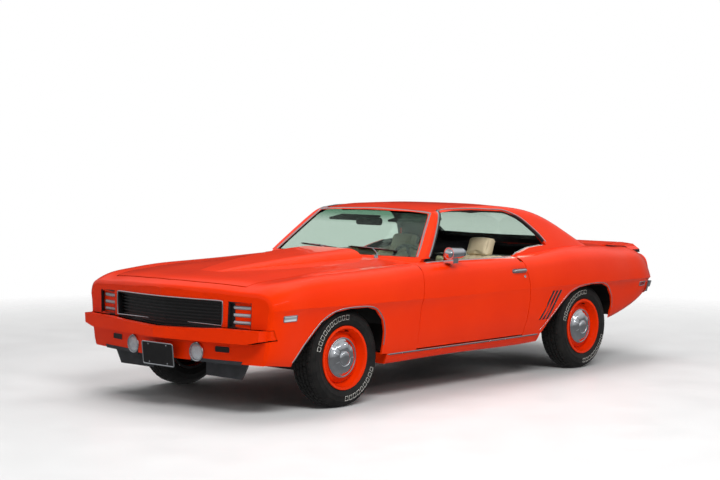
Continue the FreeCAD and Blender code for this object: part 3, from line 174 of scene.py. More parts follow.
def rubber_material(name):
    """Tyre rubber with dust in its grain."""
    g = Graph(name)
    dust = g.spread(g.noise(11.0, 8.0, 0.65), 0.0, 1.0, 0.35, 0.8)
    fine = g.noise(700.0, 3.0)
    return g.set(Base_Color=g.mix(dust, rgb("141414"), rgb("262523")),
                 Roughness=g.spread(g.noise(25.0, 6.0), 0.5, 0.72), Normal=g.bump(fine, 0.18, 0.0005),
                 Specular_IOR_Level=0.4)


def leather_material(name, main, dark):
    g = Graph(name)
    cells = g.voronoi(330.0, "DISTANCE_TO_EDGE")
    creases = g.noise(26.0, 7.0, 0.62)
    grain = g.bump(cells, 0.35, 0.0006)
    grain = g.bump(creases, 0.2, 0.003, grain)
    tone = g.spread(g.noise(7.0, 6.0))
    return g.set(Base_Color=g.mix(tone, rgb(main), rgb(dark)), Roughness=g.spread(creases, 0.42, 0.6), Normal=grain,
                 Specular_IOR_Level=0.45, Coat_Weight=0.08, Coat_Roughness=0.35)


def carpet_material(name, main, dark):
    g = Graph(name)
    pile = g.noise(900.0, 5.0, 0.7)
    tone = g.spread(g.noise(60.0, 6.0, 0.7))
    return g.set(Base_Color=g.mix(tone, rgb(main), rgb(dark)), Roughness=0.95, Sheen_Weight=0.35,
                 Normal=g.bump(pile, 0.8, 0.003), Specular_IOR_Level=0.15)


def glass_material(name, tint, band=None):
    """Tinted glass; band is the colour of the shade strip along the top."""
    g = Graph(name)
    colour = rgb(tint)
    if band:
        colour = g.mix(g.spread(g.height(), 0.0, 1.0, 1.155, 1.225), colour, rgb(band))
    smear = g.noise(5.0, 7.0, 0.6)
    return g.set(Base_Color=colour, Roughness=g.spread(smear, 0.0, 0.03), IOR=1.24, Transmission_Weight=1.0,
                 Normal=g.bump(g.noise(3.0, 1.0), 0.02, 0.001), Specular_IOR_Level=0.5)


def lens_material(name, main, ribs, deep, trans, axis="X"):
    """A fluted lens; ribs is the scale of the flutes, trans the share of light let through."""
    g = Graph(name)
    flutes = g.wave(ribs, axis)
    return g.set(Base_Color=g.mix(g.spread(flutes), rgb(main), rgb(deep)),
                 Roughness=g.spread(g.noise(40.0, 4.0), 0.03, 0.1), Transmission_Weight=trans, IOR=1.46,
                 Normal=g.bump(flutes, 0.5, 0.0015), Coat_Weight=0.6, Coat_Roughness=0.03)


def wood_material(name):
    g = Graph(name)
    rings = g.noise(24.0, 8.0, 0.6, (1.0, 1.0, 7.0))
    return g.set(Base_Color=g.mix(g.spread(rings), rgb("2A1A10"), rgb("120A06")),
                 Roughness=g.spread(rings, 0.2, 0.34), Normal=g.bump(rings, 0.1, 0.0006), Coat_Weight=0.7,
                 Coat_Roughness=0.06)


def iron_material(name, main, dark):
    g = Graph(name)
    cast = g.noise(260.0, 6.0, 0.7)
    soot = g.spread(g.noise(6.0, 7.0, 0.6), 0.0, 0.8)
    return g.set(Base_Color=g.mix(soot, rgb(main), rgb(dark)), Roughness=g.spread(cast, 0.42, 0.66),
                 Normal=g.bump(cast, 0.5, 0.0015), Metallic=0.1)


M = {
    "paint": paint_material("gloss_orange_red", "EA3401", "E22E01"),
    # A darker copy of the body paint for the undersides of the hood and the trunk lid: painted shade
    "paint_shaded_inner": paint_material("gloss_orange_red_shaded_inner", "B0280C", "7C1C0A"),
    "chrome": metal_material("polished_chrome", "E9ECEF", "D4D9DE", (0.03, 0.09), 18.0),
    "dull_chrome": metal_material("brushed_bright", "C9CCD0", "A9ADB2", (0.16, 0.3), 90.0, (1.0, 14.0, 1.0)),
    "glass": glass_material("tinted_glass", "BCD0C3"),
    "screen_glass": glass_material("windshield_glass", "B2C8BA", "5F8A70"),
    "tyre": rubber_material("tyre_rubber"),
    "grille": plastic_material("grille_black", "101112", "1B1C1D", (0.28, 0.42), 700.0, 0.06, 0.15),
    "black": plastic_material("satin_black", "0C0C0D", "18181A", (0.35, 0.55), 500.0, 0.08),
    "under": iron_material("underbody_black", "151414", "2A2622"),
    "dash": plastic_material("dash_vinyl", "121214", "1C1C1F", (0.45, 0.62), 420.0, 0.35),
    "leather": leather_material("parchment_leather", "E2D3B4", "CDBB98"),
    "leather_dark": leather_material("seam_leather", "B9A680", "A08D68"),
    "carpet": carpet_material("dark_carpet", "1A1917", "2A2824"),
    "headliner": carpet_material("headliner_cloth", "2E2D2B", "232220"),
    "iron": iron_material("engine_enamel", "C23A12", "4A1A0C"),
    "steel": metal_material("worn_steel", "8A8B8C", "4E4D4B", (0.3, 0.55), 40.0),
    "wood": wood_material("steering_rim"),
    "silver": lens_material("silver_flutes", "C9CDD2", 55.0, "8E949A", 0.0),
    "red": lens_material("red_lens", "B00A0A", 50.0, "700404", 0.25, "Z"),
    "amber": lens_material("amber_lens", "F08A2A", 60.0, "C86414", 0.15),
    "dam": plastic_material("dark_grey_dam", "3A3C40", "2A2C2F", (0.4, 0.6), 500.0, 0.1),
    "mirror": metal_material("mirror_glass", "DDE3E8", "CED6DC", (0.0, 0.02), 4.0),
    "white_mark": plastic_material("sidewall_white", "D9D8D2", "B9B7AF", (0.5, 0.7), 600.0, 0.1),
    "dial": plastic_material("dial_face", "08090A", "101214", (0.2, 0.3), 900.0, 0.02, 0.6),
    "plate": plastic_material("plate_black", "0B0B0C", "151516", (0.3, 0.42), 300.0, 0.05, 0.3),
}


def wear(obj, *names):
    """Gives an object its materials, in slots."""
    obj.data.materials.clear()
    for name in names:
        obj.data.materials.append(M[name])


def zone(obj, rule):
    """Sets each polygon's slot from its middle and normal."""
    for face in obj.data.polygons:
        face.material_index = int(rule(face.center, face.normal))


def shade(obj, angle=35.0):
    """Smooth shading, with sharp edges above an angle in degrees."""
    mesh = obj.data
    mesh.polygons.foreach_set("use_smooth", [True] * len(mesh.polygons))
    mesh.set_sharp_from_angle(angle=math.radians(angle))


# Pieces in one material
PLAIN = {
    "paint": ("cowl_panel", "front_bumper", "rear_spoiler"),
    "chrome": ("rear_bumper", "door_mirror"),
    "grille": ("grille",),
    "black": ("headlamps", "headlamp_covers", "radiator"),
    "red": ("tail_lamps",),
    "dam": ("front_air_dam",),
    "under": ("front_subframe", "inner_fenders", "rear_wheelhouses", "rear_axle", "trunk_floor"),
    "iron": ("engine_block",),
    "steel": ("driveline", "fuel_tank", "exhaust_system", "knuckle_left", "knuckle_right"),
    "dash": ("dashboard", "steering_column"),
    "wood": ("steering_wheel",),
    "screen_glass": ("windshield",),
    "glass": ("rear_window",),
    "leather": ("front_seats",),
    "tyre": ("tyre_front_left", "tyre_front_right", "tyre_rear_left", "tyre_rear_right"),
}
for material, names in PLAIN.items():
    for name in names:
        wear(NODES[name], material)

# Panels painted outside, and in the named material inside
INNER = {
    # The undersides of the hood and the lid wear the darker painted-shade copy of the body paint
    "paint_shaded_inner": ("hood", "trunk_lid"),
    "under": ("fender_left", "fender_right", "front_valance", "rear_valance", "sill_left", "sill_right"),
    "black": ("nose_panel", "rear_deck_panel", "tail_panel"),
    "headliner": ("roof_panel",),
}
BODY_AXIS_Z = 0.62
BODY_ENDS_Y = 2.0


def inside(c, n):
    """Whether a polygon of the bodywork looks into the car."""
    out = vec(c.x, 0.0, c.z - BODY_AXIS_Z)
    if abs(c.y) > BODY_ENDS_Y:
        out.y = math.copysign(0.8, c.y)
    return n.dot(out.normalized()) < -0.3


def quarter_slot(c, n):
    """Black at the shelf and in the trunk, leather beside the seat, paint outside."""
    behind_seat = c.y > 1.5 or c.y > 1.2 and n.y < -0.7
    if behind_seat and abs(c.x) < 0.8 and c.z > 0.82 and n.z < 0.25 and n.y < 0.5:
        return 2
    if not inside(c, n):
        return 0
    return 1 if c.y < 1.38 and 0.4 < c.z < 0.9 else 2


def door_slot(c, n):
    """Leather toward the cabin, black on the edges, paint outside."""
    if n.x * math.copysign(1.0, c.x) < -0.75:
        return 1
    return 2 if abs(n.x) < 0.55 and abs(c.x) < 0.86 and n.z < 0.5 else 0


def roof_slot(c, n):
    """Cloth below and at the rear edge, paint above."""
    out = Vector((c.x, (c.y - 0.2) * 0.3, c.z - 0.95))
    return n.y > 0.9 or n.dot(out.normalized()) < -0.2


RULES = {"hood": lambda c, n: n.z < -0.3, "trunk_lid": lambda c, n: n.z < -0.3,
         "rear_deck_panel": lambda c, n: n.z < 0.25, "roof_panel": roof_slot}
for material, names in INNER.items():
    for name in names:
        wear(NODES[name], "paint", material)
        zone(NODES[name], RULES.get(name, inside))
wear(NODES["floor_pan"], "carpet", "under")
zone(NODES["floor_pan"], lambda c, n: n.z < -0.2)
wear(NODES["firewall"], "under", "carpet")
zone(NODES["firewall"], lambda c, n: n.y > 0.5)
wear(NODES["rear_seat"], "leather", "black")
SEAT_BACK_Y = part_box("rear_seat")[1].y
zone(NODES["rear_seat"], lambda c, n: n.y > 0.5 and c.y > SEAT_BACK_Y - 0.3)

CAP_RADIUS = 0.135
for side, sign in SIDES:
    for label, rule in (("quarter", quarter_slot), ("door", door_slot)):
        wear(NODES[f"{label}_{side}"], "paint", "leather", "black")
        zone(NODES[f"{label}_{side}"], rule)
    for end in ("front", "rear"):
        wheel = NODES[f"wheel_{end}_{side}"]
        wear(wheel, "paint", "black", "chrome")
        hub = sum(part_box(wheel.name), Vector()) / 2
        zone(wheel, lambda c, n: 1 if n.x * sign < -0.35 else (
            2 if math.hypot(c.y - hub.y, c.z - hub.z) < CAP_RADIUS else 0))
for obj in NODES.values():
    shade(obj)


# Camera, light and floor

FOCAL_PIXELS, PICTURE_WIDTH, SENSOR_WIDTH = 1612.68, 720, 36.0
CAMERA_PLACE = (8.038, -9.18, 1.695)
CAMERA_TURN = (-42.3265, -3.1809, 0.3175)


def camera():
    """The photo's camera; the turn is yaw, pitch and roll in degrees."""
    yaw, pitch, roll = (math.radians(angle) for angle in CAMERA_TURN)
    look = Vector((math.cos(pitch) * math.sin(yaw), math.cos(pitch) * math.cos(yaw), math.sin(pitch)))
    right = Vector((math.cos(yaw), -math.sin(yaw), 0.0))
    up = right.cross(look)
    right_rolled = right * math.cos(roll) + up * math.sin(roll)
    up_rolled = up * math.cos(roll) - right * math.sin(roll)
    data = bpy.data.cameras.new("view")
    data.sensor_width = SENSOR_WIDTH
    data.lens = FOCAL_PIXELS / PICTURE_WIDTH * SENSOR_WIDTH
    data.clip_end = 200.0
    cam = bpy.data.objects.new("view", data)
    bpy.context.scene.collection.objects.link(cam)
    turn = Matrix((right_rolled, up_rolled, -look)).transposed()
    cam.matrix_world = Matrix.Translation(Vector(CAMERA_PLACE)) @ turn.to_4x4()
    bpy.context.scene.camera = cam


def area(name, place, target, wide, high, power, shiny=False):
    """A rectangular lamp aimed at a target; shiny ones show in mirror-like surfaces."""
    data = bpy.data.lights.new(name, "AREA")
    data.shape, data.size, data.size_y, data.energy = "RECTANGLE", wide, high, power
    lamp = bpy.data.objects.new(name, data)
    bpy.context.scene.collection.objects.link(lamp)
    lamp.location = place
    lamp.visible_glossy = shiny
    lamp.rotation_euler = (Vector(target) - Vector(place)).to_track_quat("-Z", "Y").to_euler()


SKY_STOPS = ((0.0, 0.3), (0.46, 0.22), (0.505, 0.42), (0.72, 1.0), (1.0, 0.5))
ROOM_STRENGTH, SKY_STRENGTH = 0.36, 0.62


def world():
    """White for the camera and through glass; a graded room and sky light the rest."""
    scene = bpy.context.scene
    scene.world = bpy.data.worlds.new("studio")
    w = Nodes(scene.world)
    out, white = w.node("OutputWorld"), w.node("Background", {0: (1, 1, 1, 1), 1: 1.0})
    room, ramp = w.node("Background", {1: ROOM_STRENGTH}), w.node("ValToRGB")
    low_stop, high_stop = ramp.color_ramp.elements
    low_stop.position, low_stop.color = 0.46, (0.16, 0.16, 0.17, 1)
    high_stop.position, high_stop.color = 0.75, (1, 1, 1, 1)
    split = w.node("SeparateXYZ", {0: w.node("TexCoord").outputs["Generated"]})
    half = w.node("MapRange", {"From Min": -1.0, "From Max": 1.0, 0: split.outputs[2]})
    w.put(half.outputs[0], ramp.inputs[0])
    w.put(ramp.outputs[0], room.inputs[0])
    dim, sky = w.node("Background", {1: SKY_STRENGTH}), w.node("ValToRGB", {0: half.outputs[0]})
    while len(sky.color_ramp.elements) < len(SKY_STOPS):
        sky.color_ramp.elements.new(0.5)
    for stop, (at, grey) in zip(sky.color_ramp.elements, SKY_STOPS):
        stop.position, stop.color = at, (grey, grey, grey * 1.02, 1)
    # The far backdrop, which the hood and the roof mirror at a low angle, is darker than the rest
    across = w.node("Math", {0: split.outputs[0], 1: split.outputs[1]}, operation="SUBTRACT")
    side = w.node("MapRange", {"From Min": -1.32, "From Max": -1.02, "To Min": 0.09, "To Max": 1.0,
                               0: across.outputs[0]})
    far = w.node("Mix", data_type="RGBA", blend_type="MULTIPLY")
    for key, value in ((0, 1.0), (6, sky.outputs[0]), (7, side.outputs[0])):
        w.put(value, far.inputs[key])
    w.put(far.outputs[2], dim.inputs[0])
    rays, shader = w.node("LightPath"), room
    for ray, other in (("Is Glossy Ray", dim), ("Is Transmission Ray", white), ("Is Camera Ray", white)):
        shader = w.node("MixShader", {0: rays.outputs[ray], 1: shader.outputs[0], 2: other.outputs[0]})
    w.put(shader.outputs[0], out.inputs[0])
    scene.view_settings.view_transform = "Standard"


def floor():
    """A pale floor that fades into the white backdrop away from the car."""
    mesh = bpy.data.meshes.new("studio_floor")
    build = bmesh.new()
    bmesh.ops.create_grid(build, x_segments=8, y_segments=8, size=40.0)
    build.to_mesh(mesh)
    build.free()
    obj = bpy.data.objects.new("studio_floor", mesh)
    bpy.context.scene.collection.objects.link(obj)
    g = Graph("pale_floor")
    g.set(Base_Color=g.mix(g.spread(g.noise(0.8, 5.0)), (0.74, 0.74, 0.74, 1), (0.77, 0.77, 0.77, 1)),
          Roughness=g.spread(g.noise(3.0, 5.0), 0.34, 0.46), Normal=g.bump(g.noise(60.0), 0.01, 0.001))
    far = g.node("TexGradient", gradient_type="SPHERICAL")
    reach = g.node("Mapping", {"Scale": (0.135, 0.135, 0.135), "Vector": g.coord})
    g.put(reach.outputs[0], far.inputs[0])
    clear, blend = g.node("BsdfTransparent"), g.node("MixShader")
    fade = g.spread(far.outputs["Fac"], from_low=0.0, from_high=0.55)
    for key, value in ((0, fade), (1, clear.outputs[0]), (2, g.bsdf.outputs[0])):
        g.put(value, blend.inputs[key])
    g.put(blend.outputs[0], g.out.inputs[0])
    mesh.materials.append(g.mat)
    obj.location.z = -0.0005
    obj.visible_glossy = False


camera()
world()
floor()
area("key", (5.5, -4.5, 6.5), (0, 0, 0.6), 5.0, 2.0, 560)
area("side", (7.0, 3.5, 5.0), (0, 0.3, 0.6), 5.0, 2.4, 50)
area("front", (-2.0, -8.5, 3.6), (0, -1.5, 0.6), 5.0, 2.2, 30)
area("top", (-1.0, 0.5, 7.0), (0, 0, 0.8), 7.0, 4.0, 400)
area("rear", (-4.0, 7.5, 4.0), (0, 1.0, 0.8), 4.0, 2.2, 120)
area("streak", (9.0, 1.0, 4.6), (0, 0.2, 0.8), 7.0, 0.35, 40, True)


# Shape helpers

LONG, WIDE, HIGH = 4.724, 0.94, 1.298
OUTER = ["hood", "cowl_panel", "fender_left", "fender_right", "nose_panel", "front_valance", "roof_panel",
         "quarter_left", "quarter_right", "rear_deck_panel", "trunk_lid", "tail_panel", "rear_valance", "door_left",
         "door_right", "sill_left", "sill_right"]
UP, DOWN, RIGHT = vec(0, 0, 1), vec(0, 0, -1), vec(1, 0, 0)


def tree_of(names):
    """A tree for rays against some CAD pieces."""
    points, faces = [], []
    for name in names:
        mesh = NODES[name].data
        start = len(points)
        points += [v.co.copy() for v in mesh.vertices]
        faces += [[start + k for k in face.vertices] for face in mesh.polygons]
    return BVHTree.FromPolygons(points, faces)


SKIN = tree_of(OUTER)


def cast(origin, direction, tree=SKIN):
    """The place a ray hits and the normal there, turned toward the ray."""
    place, normal, _, _ = tree.ray_cast(Vector(origin), Vector(direction))
    if place is None:
        return None
    if normal.dot(Vector(direction)) > 0:
        normal = -normal
    return place, normal


def from_front(x, z, tree=SKIN):
    return cast((x, -3.2, z), (0, 1, 0), tree)


def from_rear(x, z, tree=SKIN):
    return cast((x, 3.2, z), (0, -1, 0), tree)


def from_top(x, y, tree=SKIN):
    return cast((x, y, 2.0), DOWN, tree)


def from_side(sign):
    """A caster of rays onto one side of the skin, in y and z."""
    return lambda y, z: cast((1.4 * sign, y, z), (-sign, 0, 0))


SWAY_STEPS = 12


def sway(points, count):
    """Points spaced along a smooth line through the given 2D or 3D points."""
    points = [Vector(p) for p in points]
    full = [2 * points[0] - points[1]] + points + [2 * points[-1] - points[-2]]
    fine = []
    for k in range(1, len(full) - 2):
        a, b, c, d = full[k - 1:k + 3]
        for step in range(SWAY_STEPS):
            t = step / SWAY_STEPS
            fine.append(0.5 * ((2 * b) + (c - a) * t + (2 * a - 5 * b + 4 * c - d) * t * t
                               + (3 * b - a - 3 * c + d) * t * t * t))
    fine.append(points[-1])
    lengths = [0.0]
    for k in range(1, len(fine)):
        lengths.append(lengths[-1] + (fine[k] - fine[k - 1]).length)
    result, at = [], 0
    for k in range(count):
        goal = lengths[-1] * k / (count - 1)
        while at < len(fine) - 2 and lengths[at + 1] < goal:
            at += 1
        gap = lengths[at + 1] - lengths[at] or 1.0
        result.append(fine[at].lerp(fine[at + 1], min(1.0, (goal - lengths[at]) / gap)))
    return result


def even(points, count):
    """A closed line's points, evenly spaced along it."""
    loop = points + [points[0]]
    runs = [(b - a).length for a, b in zip(loop, loop[1:])]
    total, result, k, done = sum(runs), [], 0, 0.0
    for step in range(count):
        goal = total * step / count
        while done + runs[k] < goal:
            done += runs[k]
            k += 1
        result.append(loop[k].lerp(loop[k + 1], (goal - done) / max(runs[k], 1e-9)))
    return result


def hull(points):
    """The outline round a set of flat points."""
    points = sorted(set((round(a, 4), round(b, 4)) for a, b in points))
    chains = []
    for run in (points, points[::-1]):
        chain = []
        for p in run:
            while len(chain) > 1 and ((chain[-1][0] - chain[-2][0]) * (p[1] - chain[-2][1])
                                      - (chain[-1][1] - chain[-2][1]) * (p[0] - chain[-2][0])) <= 0:
                chain.pop()
            chain.append(p)
        chains += chain[:-1]
    return chains


def outset(points, middle, by):
    """A flat line's points, moved away from a middle."""
    return [p + (p - Vector(middle)).normalized() * by for p in points]


def bands(rows, ring, joined=False, seam=0):
    """Faces between neighbouring rings of points; joined rows close up, and a seam leaves each ring open."""
    return [[a * ring + j, a * ring + (j + 1) % ring, b * ring + (j + 1) % ring, b * ring + j]
            for a, b in [(k, (k + 1) % rows) for k in range(rows if joined else rows - 1)]
            for j in range(ring - seam)]


def refresh(mesh, weld=False):
    """Turns a mesh's faces outward, and joins doubled points."""
    build = bmesh.new()
    build.from_mesh(mesh)
    if weld:
        bmesh.ops.remove_doubles(build, verts=build.verts, dist=1e-6)
    bmesh.ops.recalc_face_normals(build, faces=build.faces)
    build.to_mesh(mesh)
    build.free()


# A slot name for each material, which piece looks up where none is given
SLOTS = {"paint": "paint", "chrome": "chrome", "dull_chrome": "chrome", "mirror": "chrome",
         "black": "dark_plastic", "plate": "dark_plastic", "grille": "grille", "silver": "lamp", "amber": "lamp",
         "red": "red_lamp", "tyre": "tyre", "white_mark": "tyre", "leather": "trim", "headliner": "trim",
         "dial": "dash", "dash": "dash"}


def piece(name, verts, faces, materials, body="body", slot=None, smooth=40.0, bevel=0.0):
    """A mesh with its materials, on a body of the frame; the slot is worked out but not used."""
    names = [materials] if isinstance(materials, str) else materials
    slot = slot or SLOTS[names[0]]
    mesh = bpy.data.meshes.new(name)
    mesh.from_pydata([tuple(v) for v in verts], [], faces)
    mesh.validate()
    refresh(mesh)
    obj = bpy.data.objects.new(name, mesh)
    bpy.context.scene.collection.objects.link(obj)
    for item in names:
        mesh.materials.append(M[item])
    if bevel:
        soft = obj.modifiers.new("edge", "BEVEL")
        soft.width, soft.segments, soft.limit_method = bevel, 2, "ANGLE"
    shade(obj, smooth)
    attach(obj, body)
    return obj


# Sections of a swept strip, in shares of its width and rise
CROWN = [(-0.5, -0.35), (-0.5, 0.25), (-0.36, 0.78), (-0.15, 1.0), (0.15, 1.0), (0.36, 0.78), (0.5, 0.25),
         (0.5, -0.35)]
FLUTE = [(-0.5, -0.9), (-0.5, 0.1), (-0.3, 0.7), (0, 0.9), (0.3, 0.7), (0.5, 0.1), (0.5, -0.9)]
ROUND = [(0.5 * math.cos(math.pi * j / 5), math.sin(math.pi * j / 5)) for j in range(10)]
RAIL = [(-0.5, -1.0), (-0.5, 0.4), (0.5, 0.4), (0.5, -1.0)]


def sweep(name, path, normals, wide, rise, material, body="body", slot=None, section=CROWN, closed=False,
          taper=0.0):
    """A section run along a path; taper is the share of the length over which the ends narrow."""
    count, verts = len(path), []
    for k in range(count):
        if closed:
            tangent = path[(k + 1) % count] - path[k - 1]
        else:
            tangent = path[min(k + 1, count - 1)] - path[max(k - 1, 0)]
        tangent.normalize()
        normal = (normals[k] - tangent * normals[k].dot(tangent)).normalized()
        across = tangent.cross(normal)
        size = 1.0
        if taper:
            size = min(1.0, 0.25 + min(k, count - 1 - k) / (count - 1) / taper)
        for a, b in section:
            verts.append(path[k] + across * (a * wide * size) + normal * (b * rise * size))
    ring = len(section)
    faces = bands(count, ring, closed)
    if not closed:
        faces += [list(range(ring)), [(count - 1) * ring + j for j in reversed(range(ring))]]
    return piece(name, verts, faces, material, body, slot, 50.0)


def laid(points, caster, lift=0.0):
    """Points of a 2D line put on the skin: places and smoothed normals."""
    hits = [hit for hit in (caster(a, b) for a, b in points) if hit]
    places = [place + normal * lift for place, normal in hits]
    normals = [normal for _, normal in hits]
    for _ in range(3):
        normals = [(normals[max(k - 1, 0)] + normals[k] * 2 + normals[min(k + 1, len(normals) - 1)]).normalized()
                   for k in range(len(normals))]
    return places, normals


def shares(points, push):
    """Side-view shares of length and height as metres, pushed out from the line."""
    points = [Vector(p) for p in outline_of(points)]
    moved = []
    for k, p in enumerate(points):
        tangent = (points[min(k + 1, len(points) - 1)] - points[max(k - 1, 0)]).normalized()
        moved.append(p + vec(-tangent.y, tangent.x) * push)
    return moved


def outline_of(points):
    """Side-view shares of length and height as metres."""
    return [(-LONG / 2 + a * LONG, b * HIGH) for a, b in points]


def lathe(name, profile, centre, axis, material, body="body", slot=None, count=64, flute=None, smooth=40.0):
    """A profile of (distance along the axis, radius) turned round; flute changes a point of a step."""
    axis = Vector(axis).normalized()
    side = axis.orthogonal().normalized()
    other = axis.cross(side)
    verts = []
    for step in range(count):
        angle = 2 * math.pi * step / count
        spoke = side * math.cos(angle) + other * math.sin(angle)
        for k, (along, radius) in enumerate(profile):
            if flute:
                along, radius = flute(step, k, along, radius)
            verts.append(Vector(centre) + axis * along + spoke * radius)
    ring = len(profile)
    faces = bands(count, ring, True, 1)
    if profile[0] != profile[-1]:
        if profile[0][1] > 1e-6:
            faces.append([step * ring for step in range(count)])
        if profile[-1][1] > 1e-6:
            faces.append([step * ring + ring - 1 for step in reversed(range(count))])
    obj = piece(name, verts, faces, material, body, slot, smooth)
    refresh(obj.data, weld=True)
    shade(obj, smooth)
    return obj


def slab(name, corners, normals, thick, sink, material, body="body", slot=None, bevel=0.002):
    """A closed thin plate from corner points, raised by thick along its normals and sunk by sink."""
    verts = [c - n * sink for c, n in zip(corners, normals)] + [c + n * thick for c, n in zip(corners, normals)]
    return piece(name, verts, prism(len(corners)), material, body, slot, 40.0, bevel)


def prism(count):
    """The faces of two like outlines joined by a band."""
    return [list(range(count)), [count + k for k in reversed(range(count))]] + bands(2, count)


def rounded(wide, high, radius, steps=5):
    """A rounded rectangle about the origin as 2D points."""
    points = []
    for cx, cy, start in ((1, 1, 0), (-1, 1, 90), (-1, -1, 180), (1, -1, 270)):
        for k in range(steps + 1):
            angle = math.radians(start + 90 * k / steps)
            points.append(Vector((cx * (wide / 2 - radius) + radius * math.cos(angle),
                                  cy * (high / 2 - radius) + radius * math.sin(angle))))
    return points


def plaque(name, centre, right, up, wide, high, radius, thick, material, body="body", slot=None, dish=0.0):
    """A rounded plate of real thickness, with a bevelled edge and a slight crown."""
    right, up = Vector(right).normalized(), Vector(up).normalized()
    out = right.cross(up)
    rings = [(1.0, 0.0), (1.0, thick * 0.7), (0.985, thick), (0.9, thick + dish), (0.5, thick + dish * 1.6)]
    verts = []
    outline = rounded(wide, high, radius)
    for scale, lift in rings:
        edge = (1 - scale) * min(wide, high) / 2
        for p in outline:
            fx = p.x * (1 - 2 * edge / wide)
            fy = p.y * (1 - 2 * edge / high)
            verts.append(Vector(centre) + right * fx + up * fy + out * lift)
    ring, rows = len(outline), len(rings)
    faces = bands(rows, ring) + [[(rows - 1) * ring + j for j in range(ring)], list(reversed(range(ring)))]
    return piece(name, verts, faces, material, body, slot, 30.0)


def frame_on_skin(name, caster, centre, wide, high, radius, edge, rise, lens):
    """A bright frame with a lens, laid on the skin round a centre given in the caster's two coordinates."""
    places, normals = zip(*(caster(centre[0] + p.x, centre[1] + p.y) for p in rounded(wide, high, radius, 6)))
    mean = sum(normals, Vector()).normalized()
    sweep(f"{name}_frame", places, [mean] * len(places), edge, rise, "chrome", closed=True)
    middle = sum(places, Vector()) / len(places)
    inner = [p.lerp(middle, edge / min(wide, high) * 0.4) for p in places]
    slab(f"{name}_lens", inner, [mean] * len(inner), rise * 0.75, 0.002, lens, bevel=0.0015)


# Wheels and tyres

HUB_HEIGHT = 0.328
WHEELS = {"front_left": (0.756, -1.426), "front_right": (-0.756, -1.426), "rear_left": (0.756, 1.317),
          "rear_right": (-0.756, 1.317)}
TREAD = [(-0.076, 0.3165), (-0.072, 0.3225), (-0.064, 0.3252), (-0.052, 0.3262), (-0.05, 0.3185), (-0.044, 0.3185),
         (-0.042, 0.3268), (-0.02, 0.3276), (-0.018, 0.3195), (-0.012, 0.3195), (-0.01, 0.3278)]
SIDE = [(-0.082, 0.214), (-0.09, 0.2155), (-0.0935, 0.221), (-0.0945, 0.228), (-0.0995, 0.24), (-0.1015, 0.252),
        (-0.1025, 0.2535), (-0.1025, 0.2575), (-0.1018, 0.259), (-0.1022, 0.272), (-0.1005, 0.2845), (-0.1012, 0.286),
        (-0.1008, 0.2885), (-0.0985, 0.2895), (-0.0935, 0.3), (-0.0865, 0.3095), (-0.0845, 0.3105), (-0.0815, 0.3155)]
BLOCKS = 264


def make_tyre(end, sign):
    centre_x, centre_y = WHEELS[end]
    half = SIDE + TREAD
    profile = half + [(-a, r) for a, r in reversed(half)]
    bead = [(0.078, 0.222), (0.06, 0.24), (-0.06, 0.24), (-0.078, 0.222), (-0.082, 0.214)]
    first = len(SIDE)
    last = len(profile) - len(SIDE)
    profile += bead

    def tread(step, k, along, radius):
        """Cuts grooves across the ribs of the tread, in steps that differ from rib to rib."""
        if first <= k < last and radius > 0.321:
            band = 0 if abs(along) > 0.046 else (2 if abs(along) > 0.015 else 4)
            if along > 0:
                band += 3
            if (step + band) % 6 == 0:
                radius -= 0.0062
            elif abs(along) > 0.06 and (step + band) % 3 == 1:
                radius -= 0.002
        return along, radius

    tyre = lathe(f"tread_tyre_{end}", profile, (centre_x, centre_y, HUB_HEIGHT), (sign, 0, 0), "tyre",
                 f"{end}_wheel", count=BLOCKS, flute=tread, smooth=28.0)
    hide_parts(f"tyre_{end}")


CAP = [(0.057, 0.1352), (0.0635, 0.136), (0.0685, 0.1338), (0.0702, 0.1295), (0.0696, 0.125), (0.065, 0.1225),
       (0.0645, 0.119), (0.0715, 0.116), (0.08, 0.106), (0.087, 0.09), (0.092, 0.073), (0.0945, 0.058),
       (0.0938, 0.0535), (0.0905, 0.051), (0.0905, 0.048), (0.0965, 0.044), (0.1, 0.034), (0.1015, 0.02),
       (0.102, 0.01), (0.102, 0.0)]


def make_wheel_trim(end, sign):
    centre_x, centre_y = WHEELS[end]

    def ribs(step, k, along, radius):
        """Lifts every second sector of the cap's shoulder."""
        if 8 <= k <= 10 and (step // 6) % 2:
            along += 0.0022
        return along, radius

    place, axis, body = (centre_x, centre_y, HUB_HEIGHT), (sign, 0, 0), f"{end}_wheel"
    lathe(f"hub_cap_{end}", CAP, place, axis, "chrome", body, count=96, flute=ribs, smooth=50.0)
    ring = [(0.088, 0.2085), (0.0905, 0.21), (0.0915, 0.2075), (0.088, 0.2035), (0.085, 0.203)]
    lathe(f"rim_lip_{end}", ring + [ring[0]], place, axis, "paint", body, count=96, smooth=50.0)
    for k in range(5):
        angle = 2 * math.pi * k / 5 + 0.3
        spot = Vector((0, math.cos(angle) * 0.152, math.sin(angle) * 0.152)) + Vector(place)
        lathe(f"wheel_vent_{end}_{k}", [(0.03, 0.0135), (0.0335, 0.013), (0.0342, 0.01), (0.032, 0.0085),
                                        (0.0318, 0.0)], spot, axis, "black", body, "black_metal",
              count=20)
    stem = Vector(place) + vec(0, 0.05, 0.172)
    lathe(f"valve_stem_{end}", [(0.045, 0.005), (0.05, 0.0045), (0.07, 0.0036), (0.074, 0.003), (0.075, 0.0)], stem,
          axis, "black", body, count=14)


for end in WHEELS:
    way = 1 if end.endswith("left") else -1
    make_tyre(end, way)
    make_wheel_trim(end, way)


# Bright trim: side-view shares of length and height, and for SCREEN of width and height

